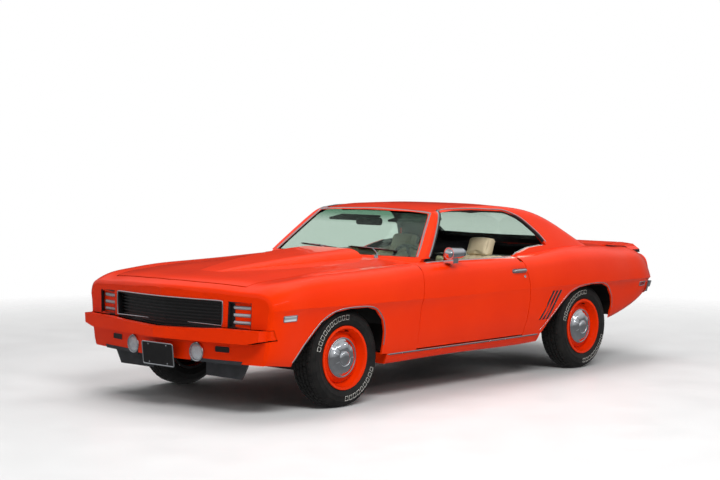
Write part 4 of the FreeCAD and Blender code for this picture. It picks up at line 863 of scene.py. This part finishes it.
FRONT_ARCH = [(0.0905, 0.262), (0.11, 0.35), (0.139, 0.453), (0.163, 0.498), (0.19, 0.51), (0.228, 0.507),
              (0.248, 0.488), (0.264, 0.435), (0.2695, 0.37), (0.2695, 0.3)]
REAR_ARCH = [(0.648, 0.262), (0.671, 0.328), (0.699, 0.414), (0.722, 0.472), (0.743, 0.499), (0.778, 0.512),
             (0.81, 0.508), (0.832, 0.482), (0.847, 0.425), (0.852, 0.37), (0.852, 0.35)]
SIDE_GLASS = [(0.403, 0.7215), (0.436, 0.84), (0.466, 0.95), (0.476, 0.963), (0.5, 0.97), (0.545, 0.97),
              (0.59, 0.9625), (0.6236, 0.955), (0.65, 0.926), (0.6647, 0.896), (0.678, 0.856), (0.69, 0.815),
              (0.7007, 0.765)]
SCREEN = [(0.738, 0.729), (0.698, 0.79), (0.652, 0.85), (0.59, 0.938), (0.565, 0.957), (0.4, 0.966),
          (0.2, 0.969), (0.0, 0.97)]
ROCKER = [(-1.03, 0.3265), (-0.6, 0.3265), (0.1, 0.3265), (0.69, 0.329)]
BELT = [(-0.56, 0.9225), (-0.3, 0.9165), (0.0, 0.9105), (0.3, 0.902), (0.515, 0.894)]


def make_bright_trim():
    for side, sign in SIDES:
        skin = from_side(sign)
        for label, arch, lift in (("front", FRONT_ARCH, -0.001), ("rear", REAR_ARCH, -0.0032)):
            line = sway(shares(arch, 0.006), 64)
            sweep(f"arch_moulding_{label}_{side}", *laid(line, skin, lift), 0.01, 0.0042, "chrome")
        path, normals = laid(sway(shares(SIDE_GLASS, 0.009), 90), skin, -0.001)
        normals = [(n + vec(sign * 0.6, 0, 0)).normalized() for n in normals]
        sweep(f"drip_rail_{side}", path, normals, 0.011, 0.009, "chrome")
        centre, glass_end, seal = sum(path, Vector()) / len(path), path[-1], []
        for place in path:
            way = centre - place
            way.x = 0.0
            seal.append(place + way.normalized() * 0.02 + vec(-sign * 0.01, 0, 0))
        sweep(f"window_seal_{side}", seal, [vec(sign, 0, 0.25).normalized()] * len(seal), 0.026, 0.012, "black")
        path, normals = laid(sway(ROCKER, 60), lambda y, z: skin(y, z - 0.01))
        sweep(f"rocker_moulding_{side}", path, normals, 0.012, 0.006, "dull_chrome", taper=0.02)
        door = tree_of([f"door_{side}"])
        belt = [cast((0.803 * sign, y, 1.3), DOWN, door) for y, _ in sway(BELT, 50)]
        for label, edge, out, body in (("belt", [hit for hit in belt if hit], 0.0, f"{side}_door"),
                                       ("quarter_sill", quarter_edge(side, sign, glass_end), 0.004, "body")):
            places = [place + vec(sign * out, 0, -0.0015) for place, _ in edge]
            leaning = [(n + vec(sign * 0.5, 0, 0)).normalized() for _, n in edge]
            sweep(f"{label}_moulding_{side}", places, leaning, 0.013, 0.006, "chrome", body, taper=0.02)
    line = [(a * WIDE, b * HIGH) for a, b in SCREEN + [(-a, b) for a, b in reversed(SCREEN[:-1])]]
    line = outset(sway(line, 150), (0, 1.05), 0.007)
    sweep("windshield_moulding", *laid(line, from_front, -0.001), 0.015, 0.005, "chrome")


def quarter_edge(side, sign, glass_end):
    """Points along the top of a quarter below its window, from front to rear."""
    quarter, edge = tree_of([f"quarter_{side}"]), []
    for step in range(31):
        t = step / 30
        for k in range(60):
            top = cast((sign * (0.66 + 0.003 * k), 0.535 + (glass_end.y - 0.545) * t, 1.1), DOWN, quarter)
            if top and 0.86 < top[0].z < glass_end.z + 0.015 and top[1].z > 0.5:
                if not edge or top[0].z > edge[-1][0].z - 0.0055:
                    edge.append(top)
                break
    return edge


def make_rear_window_trim():
    rim = hull([(v.co.x, v.co.z) for v in NODES["rear_window"].data.vertices])
    line = outset(even([Vector(p) for p in rim], 150), (0, sum(p[1] for p in rim) / len(rim)), 0.006)

    def behind(x, z):
        """A ray from behind, which doesn't count where it passes over the roof's rear edge."""
        hit = from_rear(x, z)
        return hit if hit and hit[0].y > 0.93 else None
    sweep("rear_window_moulding", *laid(line, behind, -0.001), 0.014, 0.005, "chrome", closed=True)


make_bright_trim()
make_rear_window_trim()


# Front end

GRILLE = [(0.0, 0.4205), (0.25, 0.4235), (0.4, 0.428), (0.52, 0.434), (0.547, 0.442), (0.554, 0.47),
          (0.556, 0.53), (0.553, 0.559), (0.53, 0.5665), (0.3, 0.567), (0.0, 0.568)]
GRILLE_MIDDLE_Z = 0.642


def lens_flutes(step, k, along, radius):
    """Every second of a lens's steps stands a little out."""
    return along + (0.0008 if step % 2 and 1 <= k <= 4 else 0.0), radius


def make_front():
    half = [tuple(p) for p in sway([(a * WIDE, b * HIGH) for a, b in GRILLE], 70)]
    path, normals = [], []
    for x, z in half + [(-x, z) for x, z in reversed(half[1:-1])]:
        hit = from_front(x + 0.007 * math.copysign(1, x) * (abs(x) > 0.5),
                         z + 0.007 * (1 if z > GRILLE_MIDDLE_Z else -1))
        if hit:
            path.append(vec(x, hit[0].y, z) + vec(0, -0.001, 0))
            normals.append(vec(hit[1].x * 0.4, -1, 0).normalized())
    sweep("grille_moulding", path, normals, 0.009, 0.005, "chrome", closed=True)
    for side, sign in SIDES:
        place, face = from_front(0.314 * sign, 0.396)
        face = vec(face.x * 0.5, -1, face.z * 0.2).normalized()
        lathe(f"park_lamp_bezel_{side}", [(-0.012, 0.0605), (0.008, 0.062), (0.0115, 0.059), (0.0105, 0.0545),
                                          (0.004, 0.053), (-0.006, 0.0525)], place, face, "chrome", count=72)
        lathe(f"park_lamp_lens_{side}", [(-0.008, 0.0528), (0.002, 0.0524), (0.009, 0.045), (0.014, 0.03),
                                         (0.016, 0.014), (0.0165, 0.0)], place, face, "silver", count=72,
              flute=lens_flutes)
        lathe(f"park_lamp_bulb_{side}", [(-0.01, 0.012), (0.0, 0.013), (0.006, 0.01), (0.0085, 0.0)], place, face,
              "amber", count=24)
        hits = [from_front((0.52 + p.x) * sign, 0.426 + p.y) for p in rounded(0.12, 0.042, 0.012)]
        corners, normals = zip(*hits)
        slab(f"valance_slot_{side}", corners, normals, 0.0008, 0.004, "grille", bevel=0.0004)
        sweep(f"valance_slot_lip_{side}", corners, normals, 0.005, 0.003, "paint", closed=True)


def make_plate(name, centre, right, up):
    centre, out = Vector(centre), Vector(right).normalized().cross(Vector(up).normalized())
    plaque(f"{name}_bracket", centre - out * 0.006, right, up, 0.3, 0.148, 0.01, 0.004, "black", slot="black_metal")
    plaque(f"{name}_plate", centre - out * 0.002, right, up, 0.3048, 0.1524, 0.012, 0.0018, "plate")
    right, up = Vector(right).normalized(), Vector(up).normalized()
    path = [centre + right * p.x + up * p.y for p in rounded(0.302, 0.149, 0.012, 6)]
    sweep(f"{name}_frame", path, [out] * len(path), 0.009, 0.0035, "chrome", closed=True)
    for k, (x, z) in enumerate(((-0.089, 0.06), (0.089, 0.06), (-0.089, -0.06), (0.089, -0.06))):
        lathe(f"{name}_screw_{k}", [(-0.001, 0.006), (0.0022, 0.0056), (0.0034, 0.003), (0.0036, 0.0)],
              centre + right * x + up * z, out, "chrome", count=18)


make_front()
make_plate("front", (0.011, -2.322, 0.362), (1, 0, 0), (0, -0.1, 1))


# Lamps and side details

def make_headlamp_doors():
    low, rise = 0.435 * HIGH, 0.129 * HIGH / 7
    covers = tree_of(["headlamp_covers"])
    for side, sign in SIDES:
        for row, k in enumerate((1, 3, 5)):
            z, path = low + (k + 0.5) * rise, []
            for p in sway([(0.588, 0), (0.655, 0), (0.723, 0)], 24):
                near = from_front(p.x * sign, z + rise, covers)
                if near:
                    path.append(vec(p.x * sign, near[0].y + 0.004, z))
            sweep(f"lamp_slot_{side}_{row}", path, [vec(0, -1, 0)] * len(path), rise * 0.96, 0.007, "silver",
                  section=FLUTE)
    cover = NODES["headlamp_covers"]
    wear(cover, "paint", "grille")
    zone(cover, lambda c, n: not (0.606 < abs(c.x) < 0.738 and n.y < -0.6 and 0.574 < c.z < 0.727))


def make_side_details():
    for side, sign in SIDES:
        skin = from_side(sign)
        frame_on_skin(f"front_marker_{side}", skin, (-2.002, 0.634), 0.118, 0.036, 0.006, 0.007, 0.005, "silver")
        frame_on_skin(f"rear_marker_{side}", skin, (2.105, 0.622), 0.09, 0.032, 0.006, 0.007, 0.005, "red")
        for k in range(3):
            top_y, low_y = 0.806 + 0.045 * k, 0.652 + 0.045 * k
            line = [(low_y + (top_y - low_y) * (step / 14), 0.428 + 0.214 * (step / 14)) for step in range(15)]
            near, far = [skin(y, z) for y, z in line], [skin(y + 0.029, z) for y, z in line]
            # The gills are stamped recesses in the quarter; a black strip laid in each is painted shade
            slab(f"gill_shade_strip_{side}_{k}", *zip(*near + far[::-1]), 0.0006, 0.003, "grille", bevel=0.0002)
            sweep(f"gill_blade_{side}_{k}", *zip(*near), 0.008, 0.0042, "paint", taper=0.1)
            # A bright metal strip along each gill's painted far edge is a painted highlight
            sweep(f"gill_highlight_lip_{side}_{k}", *zip(*far), 0.0022, 0.0042, "dull_chrome", slot="paint", taper=0.1)
        body = f"{side}_door"
        (start, out), (end, _) = skin(0.33, 0.812), skin(0.475, 0.812)
        plaque(f"handle_plate_{side}", (start + end) / 2 + out * 0.0005, (end - start) * sign, UP, 0.172, 0.034, 0.014,
               0.0028, "dull_chrome", body)
        path = sway([start.lerp(end, t) + out * lift for t, lift in (
            (-0.05, 0.003), (0.03, 0.014), (0.25, 0.02), (0.6, 0.02), (0.9, 0.016), (1.04, 0.003))], 30)
        sweep(f"handle_grip_{side}", path, [out] * len(path), 0.019, 0.007, "chrome", body, taper=0.15)
        lathe(f"handle_button_{side}", [(0.001, 0.0085), (0.018, 0.0082), (0.0205, 0.0065), (0.021, 0.0)],
              start.lerp(end, 0.94) + vec(0, 0, -0.001), out, "chrome", body, count=28)
        lathe(f"door_lock_{side}", [(-0.001, 0.0115), (0.003, 0.011), (0.0042, 0.009), (0.0036, 0.006),
                                    (0.0038, 0.0)], *skin(0.462, 0.768), "chrome", body, count=30)


def make_wipers():
    screen = tree_of(["windshield"])
    for label, x0, x1, pivot in (("left", 0.06, 0.52, 0.4), ("right", -0.46, 0.00, -0.1)):
        path, normals = [], []
        for p in sway([(x0, 0.992), ((x0 + x1) / 2, 0.984), (x1, 0.974)], 24):
            hit = from_front(p.x, p.y, screen)
            if hit:
                path.append(hit[0] + hit[1] * 0.004)
                normals.append(hit[1])
        sweep(f"wiper_blade_{label}", path, normals, 0.005, 0.011, "black", taper=0.1)
        path_in, normals_in = path[5:-5], normals[5:-5]
        sweep(f"wiper_bridge_{label}", [p + n * 0.01 for p, n in zip(path_in, normals_in)], normals_in, 0.008, 0.004,
              "dull_chrome", taper=0.3)
        foot, half = from_top(pivot, -0.622)[0], len(path) // 2
        middle = path[half] + normals[half] * 0.013
        arm = sway([foot + vec(0, 0, 0.012), foot + vec(0.0, 0.012, 0.03),
                    foot.lerp(middle, 0.6) + vec(0, -0.006, 0.02), middle], 26)
        sweep(f"wiper_arm_{label}", arm, [vec(0, -0.5, 0.8)] * len(arm), 0.01, 0.005, "dull_chrome")
        lathe(f"wiper_pivot_{label}", [(-0.004, 0.017), (0.008, 0.0165), (0.016, 0.012), (0.021, 0.0085),
                                       (0.022, 0.0)], foot, UP, "dull_chrome", count=30)


def make_rear():
    lamps, back = tree_of(["tail_lamps"]), vec(0, 1, 0)
    for side, sign in SIDES:
        for k, x in enumerate((0.36, 0.428, 0.498, 0.568, 0.636)):
            path = [from_rear(x * sign, z, lamps)[0] for z in (0.712, 0.755, 0.798)]
            wide, material = (0.012, "black") if k in (1, 3) else (0.004, "chrome")
            sweep(f"tail_lamp_bar_{side}_{k}", path, [back] * 3, wide, 0.003, material, slot="black_metal")
    lathe("trunk_lock", [(-0.002, 0.016), (0.004, 0.0155), (0.0065, 0.012), (0.0055, 0.0075), (0.0058, 0.0)],
          from_rear(0.0, 0.838)[0], back, "chrome", count=36)
    make_plate("rear", (0.0, 2.262, 0.452), (-1, 0, 0), (0, 0.1, 1))


def make_mirrors():
    low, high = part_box("door_mirror")
    nose = cast((high.x - 0.044, low.y - 0.1, high.z - 0.044), (0, 1, 0), tree_of(["door_mirror"]))[0]
    lathe("door_mirror_dome", [(-0.001, 0.0338), (0.006, 0.0332), (0.012, 0.031), (0.018, 0.027), (0.0225, 0.021),
                               (0.0255, 0.013), (0.0268, 0.006), (0.027, 0.0)], nose, (0, -1, 0), "chrome",
          "left_door", count=48)
    plaque("door_mirror_glass", ((low.x + high.x) / 2 + 0.033, high.y - 0.0005, high.z - 0.045), (-1, 0, 0), UP, 0.052,
           0.052, 0.0255, 0.0012, "mirror", "left_door")
    top = from_front(0.0, 1.185, tree_of(["windshield"]))[0] + vec(0, 0.012, 0.004)
    stalk = sway([top, top + vec(0, 0.02, -0.006), top + vec(0, 0.055, -0.018)], 12)
    sweep("inside_mirror_stalk", stalk, [UP] * 12, 0.01, 0.006, "dull_chrome")
    spot = top + vec(0, 0.058, -0.022)
    plaque("inside_mirror_shell", spot, (1, 0, 0), (0, 0.1, 1), 0.25, 0.056, 0.022, 0.016, "black", dish=0.002)
    plaque("inside_mirror_glass", spot + vec(0, 0.001, 0), (-1, 0, 0), (0, 0.1, 1), 0.238, 0.046, 0.018, 0.0015,
           "mirror")
    for side, sign in SIDES:
        line = [Vector((sign * (0.3 + x), -0.07 + y, 1.19 + z)) for x, y, z in
                ((-0.2, -0.09, -0.018), (0.2, -0.09, -0.018), (0.2, 0.06, 0.006), (-0.2, 0.06, 0.006))]
        slab(f"sun_visor_{side}", line, [vec(0, 0.15, -1).normalized()] * 4, 0.01, 0.008, "headliner", bevel=0.006)


make_headlamp_doors()
make_side_details()
make_wipers()
make_rear()
make_mirrors()


# Cabin

CLOTH_FRAMES = 20
WELT_SHARE, WELT_DEPTH, WELT_WIDTH = 0.8, 0.0065, 0.006
CHANNEL_SHARE, CHANNEL_DEPTH, CHANNEL_WIDTH = 0.78, 0.006, 0.007


def soft_form(name, outline, x0, x1, shrink, voxel, cap, channels):
    """A stuffed form from a side outline run across, rounded, blown up a little as cloth, with sewn channels."""
    outline = outline_of(outline)
    count = len(outline)
    middle = Vector((sum(p[0] for p in outline) / count, sum(p[1] for p in outline) / count))
    ring = []
    for p in outline:
        v = Vector(p) - middle
        ring.append(middle + v * (1 - shrink / max(v.length, 0.02)))
    xa, xb = min(x0, x1) + shrink, max(x0, x1) - shrink
    verts = [vec(x, p.x, p.y) for x in (xa, xb) for p in ring]
    obj = piece(name, verts, prism(count), ["leather", "leather_dark"])
    bpy.context.view_layer.objects.active = obj
    remesh = obj.modifiers.new("voxel", "REMESH")
    remesh.mode, remesh.voxel_size = "VOXEL", voxel
    soften = obj.modifiers.new("soften", "SMOOTH")
    soften.factor, soften.iterations = 0.7, 9
    apply_all(obj)
    blow_up(obj, cap)
    sew(obj, channels)
    sub = obj.modifiers.new("fine", "SUBSURF")
    sub.levels = sub.render_levels = 1
    apply_all(obj)
    shade(obj, 60.0)
    return obj


def blow_up(obj, cap):
    """Runs the form as cloth under pressure; no point moves further than cap."""
    before = [v.co.copy() for v in obj.data.vertices]
    cloth = obj.modifiers.new("cloth", "CLOTH")
    cloth.settings.use_pressure = True
    cloth.settings.uniform_pressure_force = 4.0
    cloth.settings.effector_weights.gravity = 0.0
    cloth.settings.quality = 4
    cloth.point_cache.frame_start, cloth.point_cache.frame_end = 1, CLOTH_FRAMES
    for frame_number in range(1, CLOTH_FRAMES + 1):
        bpy.context.scene.frame_set(frame_number)
    moved = obj.evaluated_get(bpy.context.evaluated_depsgraph_get()).to_mesh()
    after = [v.co.copy() for v in moved.vertices]
    obj.modifiers.remove(cloth)
    bpy.context.scene.frame_set(1)
    for vert, old, new in zip(obj.data.vertices, before, after):
        step = new - old
        vert.co = old + (step if step.length < cap else step * (cap / step.length))


def sew(obj, channels):
    """Presses the welts and channels of the cover into a soft form."""
    low = Vector([min(v.co[k] for v in obj.data.vertices) for k in range(3)])
    high = Vector([max(v.co[k] for v in obj.data.vertices) for k in range(3)])
    span, centre = high - low, (high + low) / 2
    normals = [v.normal.copy() for v in obj.data.vertices]
    for vert, normal in zip(obj.data.vertices, normals):
        if abs(normal.x) >= 0.6:
            continue
        side = (vert.co.x - centre.x) / (span.x / 2)
        welt = abs(abs(side) - WELT_SHARE)
        depth = WELT_DEPTH * math.exp(-(welt * span.x / 2 / WELT_WIDTH) ** 2)
        if channels and abs(side) < CHANNEL_SHARE:
            pitch = span.x * CHANNEL_SHARE / channels
            phase = (vert.co.x - centre.x) / pitch
            near = abs(phase - round(phase)) * pitch
            depth += CHANNEL_DEPTH * math.exp(-(near / CHANNEL_WIDTH) ** 2)
        vert.co -= normal * depth


def apply_all(obj):
    """Puts an object's modifiers into its mesh."""
    graph = bpy.context.evaluated_depsgraph_get()
    fresh = bpy.data.meshes.new_from_object(obj.evaluated_get(graph))
    old = obj.data
    obj.modifiers.clear()
    obj.data = fresh
    bpy.data.meshes.remove(old)


FRONT_BASE = [(0.48, 0.286), (0.585, 0.268), (0.588, 0.352), (0.56, 0.36), (0.52, 0.372), (0.484, 0.384),
              (0.478, 0.35)]
FRONT_BACK = [(0.574, 0.345), (0.598, 0.345), (0.616, 0.52), (0.632, 0.69), (0.626, 0.709), (0.612, 0.704),
              (0.596, 0.56)]
HEAD_REST = [(0.61, 0.69), (0.63, 0.688), (0.64, 0.776), (0.6365, 0.793), (0.6285, 0.799), (0.6215, 0.79)]
REAR_BASE = [(0.652, 0.362), (0.722, 0.362), (0.716, 0.406), (0.69, 0.424), (0.655, 0.442), (0.648, 0.425)]
REAR_BACK = [(0.718, 0.41), (0.738, 0.38), (0.752, 0.48), (0.768, 0.628), (0.758, 0.645), (0.746, 0.646),
             (0.732, 0.52)]


def make_seats():
    for side, sign in SIDES:
        x0, x1 = 0.165 * WIDE * sign, 0.665 * WIDE * sign
        soft_form(f"front_cushion_{side}", FRONT_BASE, x0, x1, 0.01, 0.009, 0.016, 6)
        soft_form(f"front_backrest_{side}", FRONT_BACK, x0, x1, 0.008, 0.009, 0.014, 6)
        soft_form(f"head_rest_pad_{side}", HEAD_REST, 0.3 * WIDE * sign, 0.53 * WIDE * sign, 0.006, 0.007, 0.01, 0)
        for k, x in enumerate((0.385, 0.445)):
            foot = vec(x * WIDE * sign, -LONG / 2 + 0.619 * LONG, 0.668 * HIGH)
            tip = vec(x * WIDE * sign, -LONG / 2 + 0.625 * LONG, 0.745 * HIGH)
            sweep(f"rest_post_{side}_{k}", sway([foot, foot.lerp(tip, 0.5), tip], 8), [vec(1, 0, 0)] * 8, 0.01,
                  0.005, "chrome", section=ROUND)
        front, rear = (vec(sign * 0.39, y, 0.335) for y in (0.02, 0.36))
        for k, shift in enumerate((-0.15, 0.15)):
            line = sway([front + vec(shift, 0, -0.03), rear + vec(shift, 0, -0.046)], 6)
            sweep(f"seat_rail_{side}_{k}", line, [UP] * 6, 0.036, 0.05, "black", slot="black_metal", section=RAIL)
        plaque(f"seat_hinge_{side}", (sign * 0.628, -LONG / 2 + 0.588 * LONG, 0.365 * HIGH), (0, sign, 0), UP, 0.085,
               0.06, 0.028, 0.006, "chrome")
    soft_form("rear_cushion", REAR_BASE, -0.555, 0.555, 0.01, 0.011, 0.016, 14)
    soft_form("rear_backrest", REAR_BACK, -0.555, 0.555, 0.008, 0.011, 0.014, 14)
    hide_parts("front_seats")
    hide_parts("rear_seat")
    shelf = [vec(x, y, 0.8395) for x, y in ((-0.56, 1.17), (0.56, 1.17), (0.56, 1.41), (-0.56, 1.41))]
    slab("parcel_shelf_trim", shelf, [UP] * 4, 0.004, 0.008, "headliner")


def make_steering_wheel():
    wheel = NODES["steering_wheel"]
    wear(wheel, "wood", "black", "chrome")
    hub = sum(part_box("steering_wheel"), Vector()) / 2
    zone(wheel, lambda c, n: (c - hub).length <= 0.163)
    tilt = math.radians(20)
    axis, right = Vector((0, math.cos(tilt), math.sin(tilt))), vec(1, 0, 0)
    lathe("horn_cap", [(-0.01, 0.046), (0.004, 0.044), (0.01, 0.036), (0.0125, 0.02), (0.013, 0.0)],
          hub + axis * 0.002, axis, "dull_chrome", "steering", count=40)
    for k, angle in enumerate((0, 180, 270)):
        way = right * math.cos(math.radians(angle)) + axis.cross(right) * math.sin(math.radians(angle))
        line = [hub + axis * 0.0015 + way * r for r in (0.045, 0.08, 0.12, 0.168)]
        sweep(f"wheel_spoke_{k}", line, [axis] * 4, 0.02, 0.0035, "dull_chrome", "steering")


def make_dash():
    board, out = tree_of(["dashboard"]), vec(0, 0.96, 0.28).normalized()

    def face(x, z):
        return cast((x, 0.5, z), (0, -1, 0), board)[0]
    for k, (x, z, radius) in enumerate(((0.27, 0.862, 0.058), (0.462, 0.862, 0.058), (0.366, 0.826, 0.024))):
        spot = face(x, z)
        lathe(f"gauge_ring_{k}", [(-0.006, radius + 0.006), (0.01, radius + 0.0055), (0.0125, radius + 0.002),
                                  (0.0115, radius - 0.002), (0.002, radius - 0.004)], spot, out, "chrome", count=56)
        lathe(f"gauge_face_{k}", [(-0.004, radius - 0.002), (0.003, radius - 0.0025), (0.0034, 0.0)], spot, out,
              "dial", count=56)
        aim = Vector((math.sin(0.8 - k), 0, math.cos(0.8 - k)))
        aim = (aim - out * aim.dot(out)).normalized()
        line = [spot + out * 0.0048 + aim * (radius * t) for t in (-0.12, 0.3, 0.82)]
        sweep(f"gauge_needle_{k}", line, [out] * 3, 0.0024, 0.0008, "amber")
    for k, x in enumerate((-0.08, -0.02, 0.04)):
        lathe(f"dash_knob_{k}", [(-0.002, 0.01), (0.014, 0.0095), (0.02, 0.0125), (0.026, 0.011), (0.027, 0.0)],
              face(x, 0.8), (0, 1, 0.2), "dull_chrome", count=28)
    for k, (x, z, wide, high, material) in enumerate(((-0.38, 0.818, 0.34, 0.105, "dash"),
                                                      (0.0, 0.85, 0.19, 0.055, "dull_chrome"))):
        plaque(f"dash_panel_{k}", face(x, z) + vec(0, 0.0005, 0), (-1, 0, 0), (0, 0.12, 1), wide, high, 0.012,
               0.004, material, slot="dash")


def make_shifter():
    base = from_top(0.0, 0.02, tree_of(["floor_pan"]))[0]
    lathe("shifter_boot", [(0.0, 0.07), (0.012, 0.066), (0.02, 0.05), (0.034, 0.046), (0.042, 0.032), (0.056, 0.028),
                           (0.066, 0.016), (0.078, 0.012)], base, UP, "dash", slot="dark_plastic", count=40)
    rod = sway([base + vec(0, 0, 0.07), base + vec(0.01, -0.03, 0.2), base + vec(0.015, -0.02, 0.3)],
               16)
    sweep("shifter_rod", rod, [vec(1, 0, 0)] * 16, 0.012, 0.006, "chrome", section=ROUND)
    lathe("shifter_knob", [(-0.022, 0.01), (-0.016, 0.019), (0.0, 0.024), (0.016, 0.019), (0.024, 0.0)],
          rod[-1] + vec(0, 0, 0.01), UP, "black", count=32)


def make_door_trim():
    for side, sign in SIDES:
        door, body = tree_of([f"door_{side}"]), f"{side}_door"

        def within(y, z):
            return cast((0.3 * sign, y, z), (sign, 0, 0), door)
        line = sway([(-0.42, 0.655), (-0.1, 0.668), (0.28, 0.672)], 24)
        line = [hit for hit in (within(y, z) for y, z in line) if hit]
        sweep(f"arm_rest_{side}", [place + n * 0.01 for place, n in line], [n for _, n in line], 0.056, 0.034,
              "leather", body, taper=0.22)
        place, out = within(-0.2, 0.585)
        lathe(f"window_crank_hub_{side}", [(-0.002, 0.02), (0.012, 0.018), (0.016, 0.012), (0.017, 0.0)], place, out,
              "chrome", body, count=30)
        arm = [place + out * 0.016, place + out * 0.022 + vec(0, 0.05, -0.02),
               place + out * 0.024 + vec(0, 0.095, -0.03)]
        sweep(f"window_crank_{side}", arm, [out] * 3, 0.012, 0.004, "chrome", body)
        lathe(f"window_knob_{side}", [(0.0, 0.009), (0.018, 0.012), (0.026, 0.009), (0.028, 0.0)], arm[-1], out,
              "black", body, count=24)
        place, out = within(-0.3, 0.77)
        plaque(f"door_pull_{side}", place + out * 0.001, (0, sign, 0), UP, 0.12, 0.034, 0.014, 0.01, "chrome", body,
               dish=0.002)


make_seats()
make_steering_wheel()
make_dash()
make_shifter()
make_door_trim()


# Screen of the hood's bulge

SCREEN_Y, BAFFLE_Y = -0.738, -0.744
WIRE_HALF = 0.0011


def make_bulge_screen():
    """The black mesh that closes the open rear end of the hood's raised middle."""
    tree = tree_of(["hood"])
    columns = []
    for k in range(45):
        x = -0.308 + 0.014 * k
        roof = cast((x, SCREEN_Y, 1.4), DOWN, tree)[0].z - 0.015
        foot = cast((x, SCREEN_Y, roof - 0.002), DOWN, tree)
        if foot and roof - foot[0].z > 0.008:
            columns.append((x, foot[0].z + 0.0003, roof))
    verts, faces = [], []

    def wire(a, b, near):
        """A bar between two points of the (x, z) plane."""
        along = (b - a).normalized()
        side = vec(-along.y, along.x) * WIRE_HALF
        first = len(verts)
        for y in (near, near + 0.0025):
            for p in (a - side, a + side, b + side, b - side):
                verts.append((p.x, y, p.y))
        for face in ((0, 1, 2, 3), (7, 6, 5, 4), (0, 4, 5, 1), (1, 5, 6, 2), (2, 6, 7, 3), (3, 7, 4, 0)):
            faces.append([first + j for j in face])

    for k, (x, low, high) in enumerate(columns):
        wire(vec(x, low), vec(x, high), -0.737)
        if k + 1 < len(columns):
            nxt = columns[k + 1]
            for share in (0.04, 0.24, 0.43, 0.62, 0.81, 0.96):
                wire(vec(x, low + (high - low) * share), vec(nxt[0], nxt[1] + (nxt[2] - nxt[1]) * share), -0.738)
    piece("bulge_screen", verts, faces, "grille", "hood_lid")
    ring = [vec(x, BAFFLE_Y, a) for x, a, _ in columns] + [vec(x, BAFFLE_Y, b) for x, _, b in columns[::-1]]
    slab("bulge_baffle", ring, [vec(0, 1, 0)] * len(ring), 0.002, 0.002, "black", "hood_lid", "grille", 0.0)


make_bulge_screen()


# Marks on the tyres

MARK_WIDTHS = [0.029, 0.026, 0.028, 0.03, 0.025, 0.029, 0.027, 0.0285, 0.026, 0.029]
MARK_MIDDLE = 0.2705
MARK_RADII = (0.253, 0.256, 0.2822, 0.2852)
MARK_GAP, MARK_STROKE, MARK_STEP = 0.012, 0.003, 0.004


def make_sidewall_marks(end, sign):
    """Plain raised white outline blocks in two arcs on the outer sidewall, in place of lettering."""
    centre_x, centre_y = WHEELS[end]
    verts, faces = [], []

    def spot(angle, radius, lift):
        share = (radius - 0.252) / (0.2885 - 0.252)
        out = 0.1024 - 0.0014 * max(0.0, share) + lift
        return Vector((centre_x + sign * out, centre_y + radius * math.cos(angle),
                       HUB_HEIGHT + radius * math.sin(angle)))

    def patch(a0, a1, r0, r1):
        """A raised strip between two angles and two radii."""
        steps = max(1, int((a1 - a0) * MARK_MIDDLE / MARK_STEP))
        first = len(verts)
        for k in range(steps + 1):
            angle = a0 + (a1 - a0) * k / steps
            for radius, lift in ((r0, -0.0012), (r0, 0.0004), (r1, 0.0004), (r1, -0.0012)):
                verts.append(spot(angle, radius, lift))
        faces.extend([first + j for j in face] for face in bands(steps + 1, 4))
        faces.append([first, first + 1, first + 2, first + 3])
        faces.append([first + 4 * steps + j for j in (3, 2, 1, 0)])

    low, low_edge, high_edge, high = MARK_RADII
    for centre, widths in ((math.radians(125), MARK_WIDTHS), (math.radians(305), MARK_WIDTHS[:9])):
        total = sum(widths) + MARK_GAP * (len(widths) - 1)
        angle = centre - total / 2 / MARK_MIDDLE
        for wide in widths:
            end_angle = angle + wide / MARK_MIDDLE
            rim = MARK_STROKE / MARK_MIDDLE
            patch(angle, end_angle, high_edge, high)
            patch(angle, end_angle, low, low_edge)
            patch(angle, angle + rim, low_edge, high_edge)
            patch(end_angle - rim, end_angle, low_edge, high_edge)
            angle = end_angle + MARK_GAP / MARK_MIDDLE
    piece(f"sidewall_marks_{end}", verts, faces, "white_mark", f"{end}_wheel", smooth=30.0)


for end in WHEELS:
    make_sidewall_marks(end, 1 if end.endswith("left") else -1)
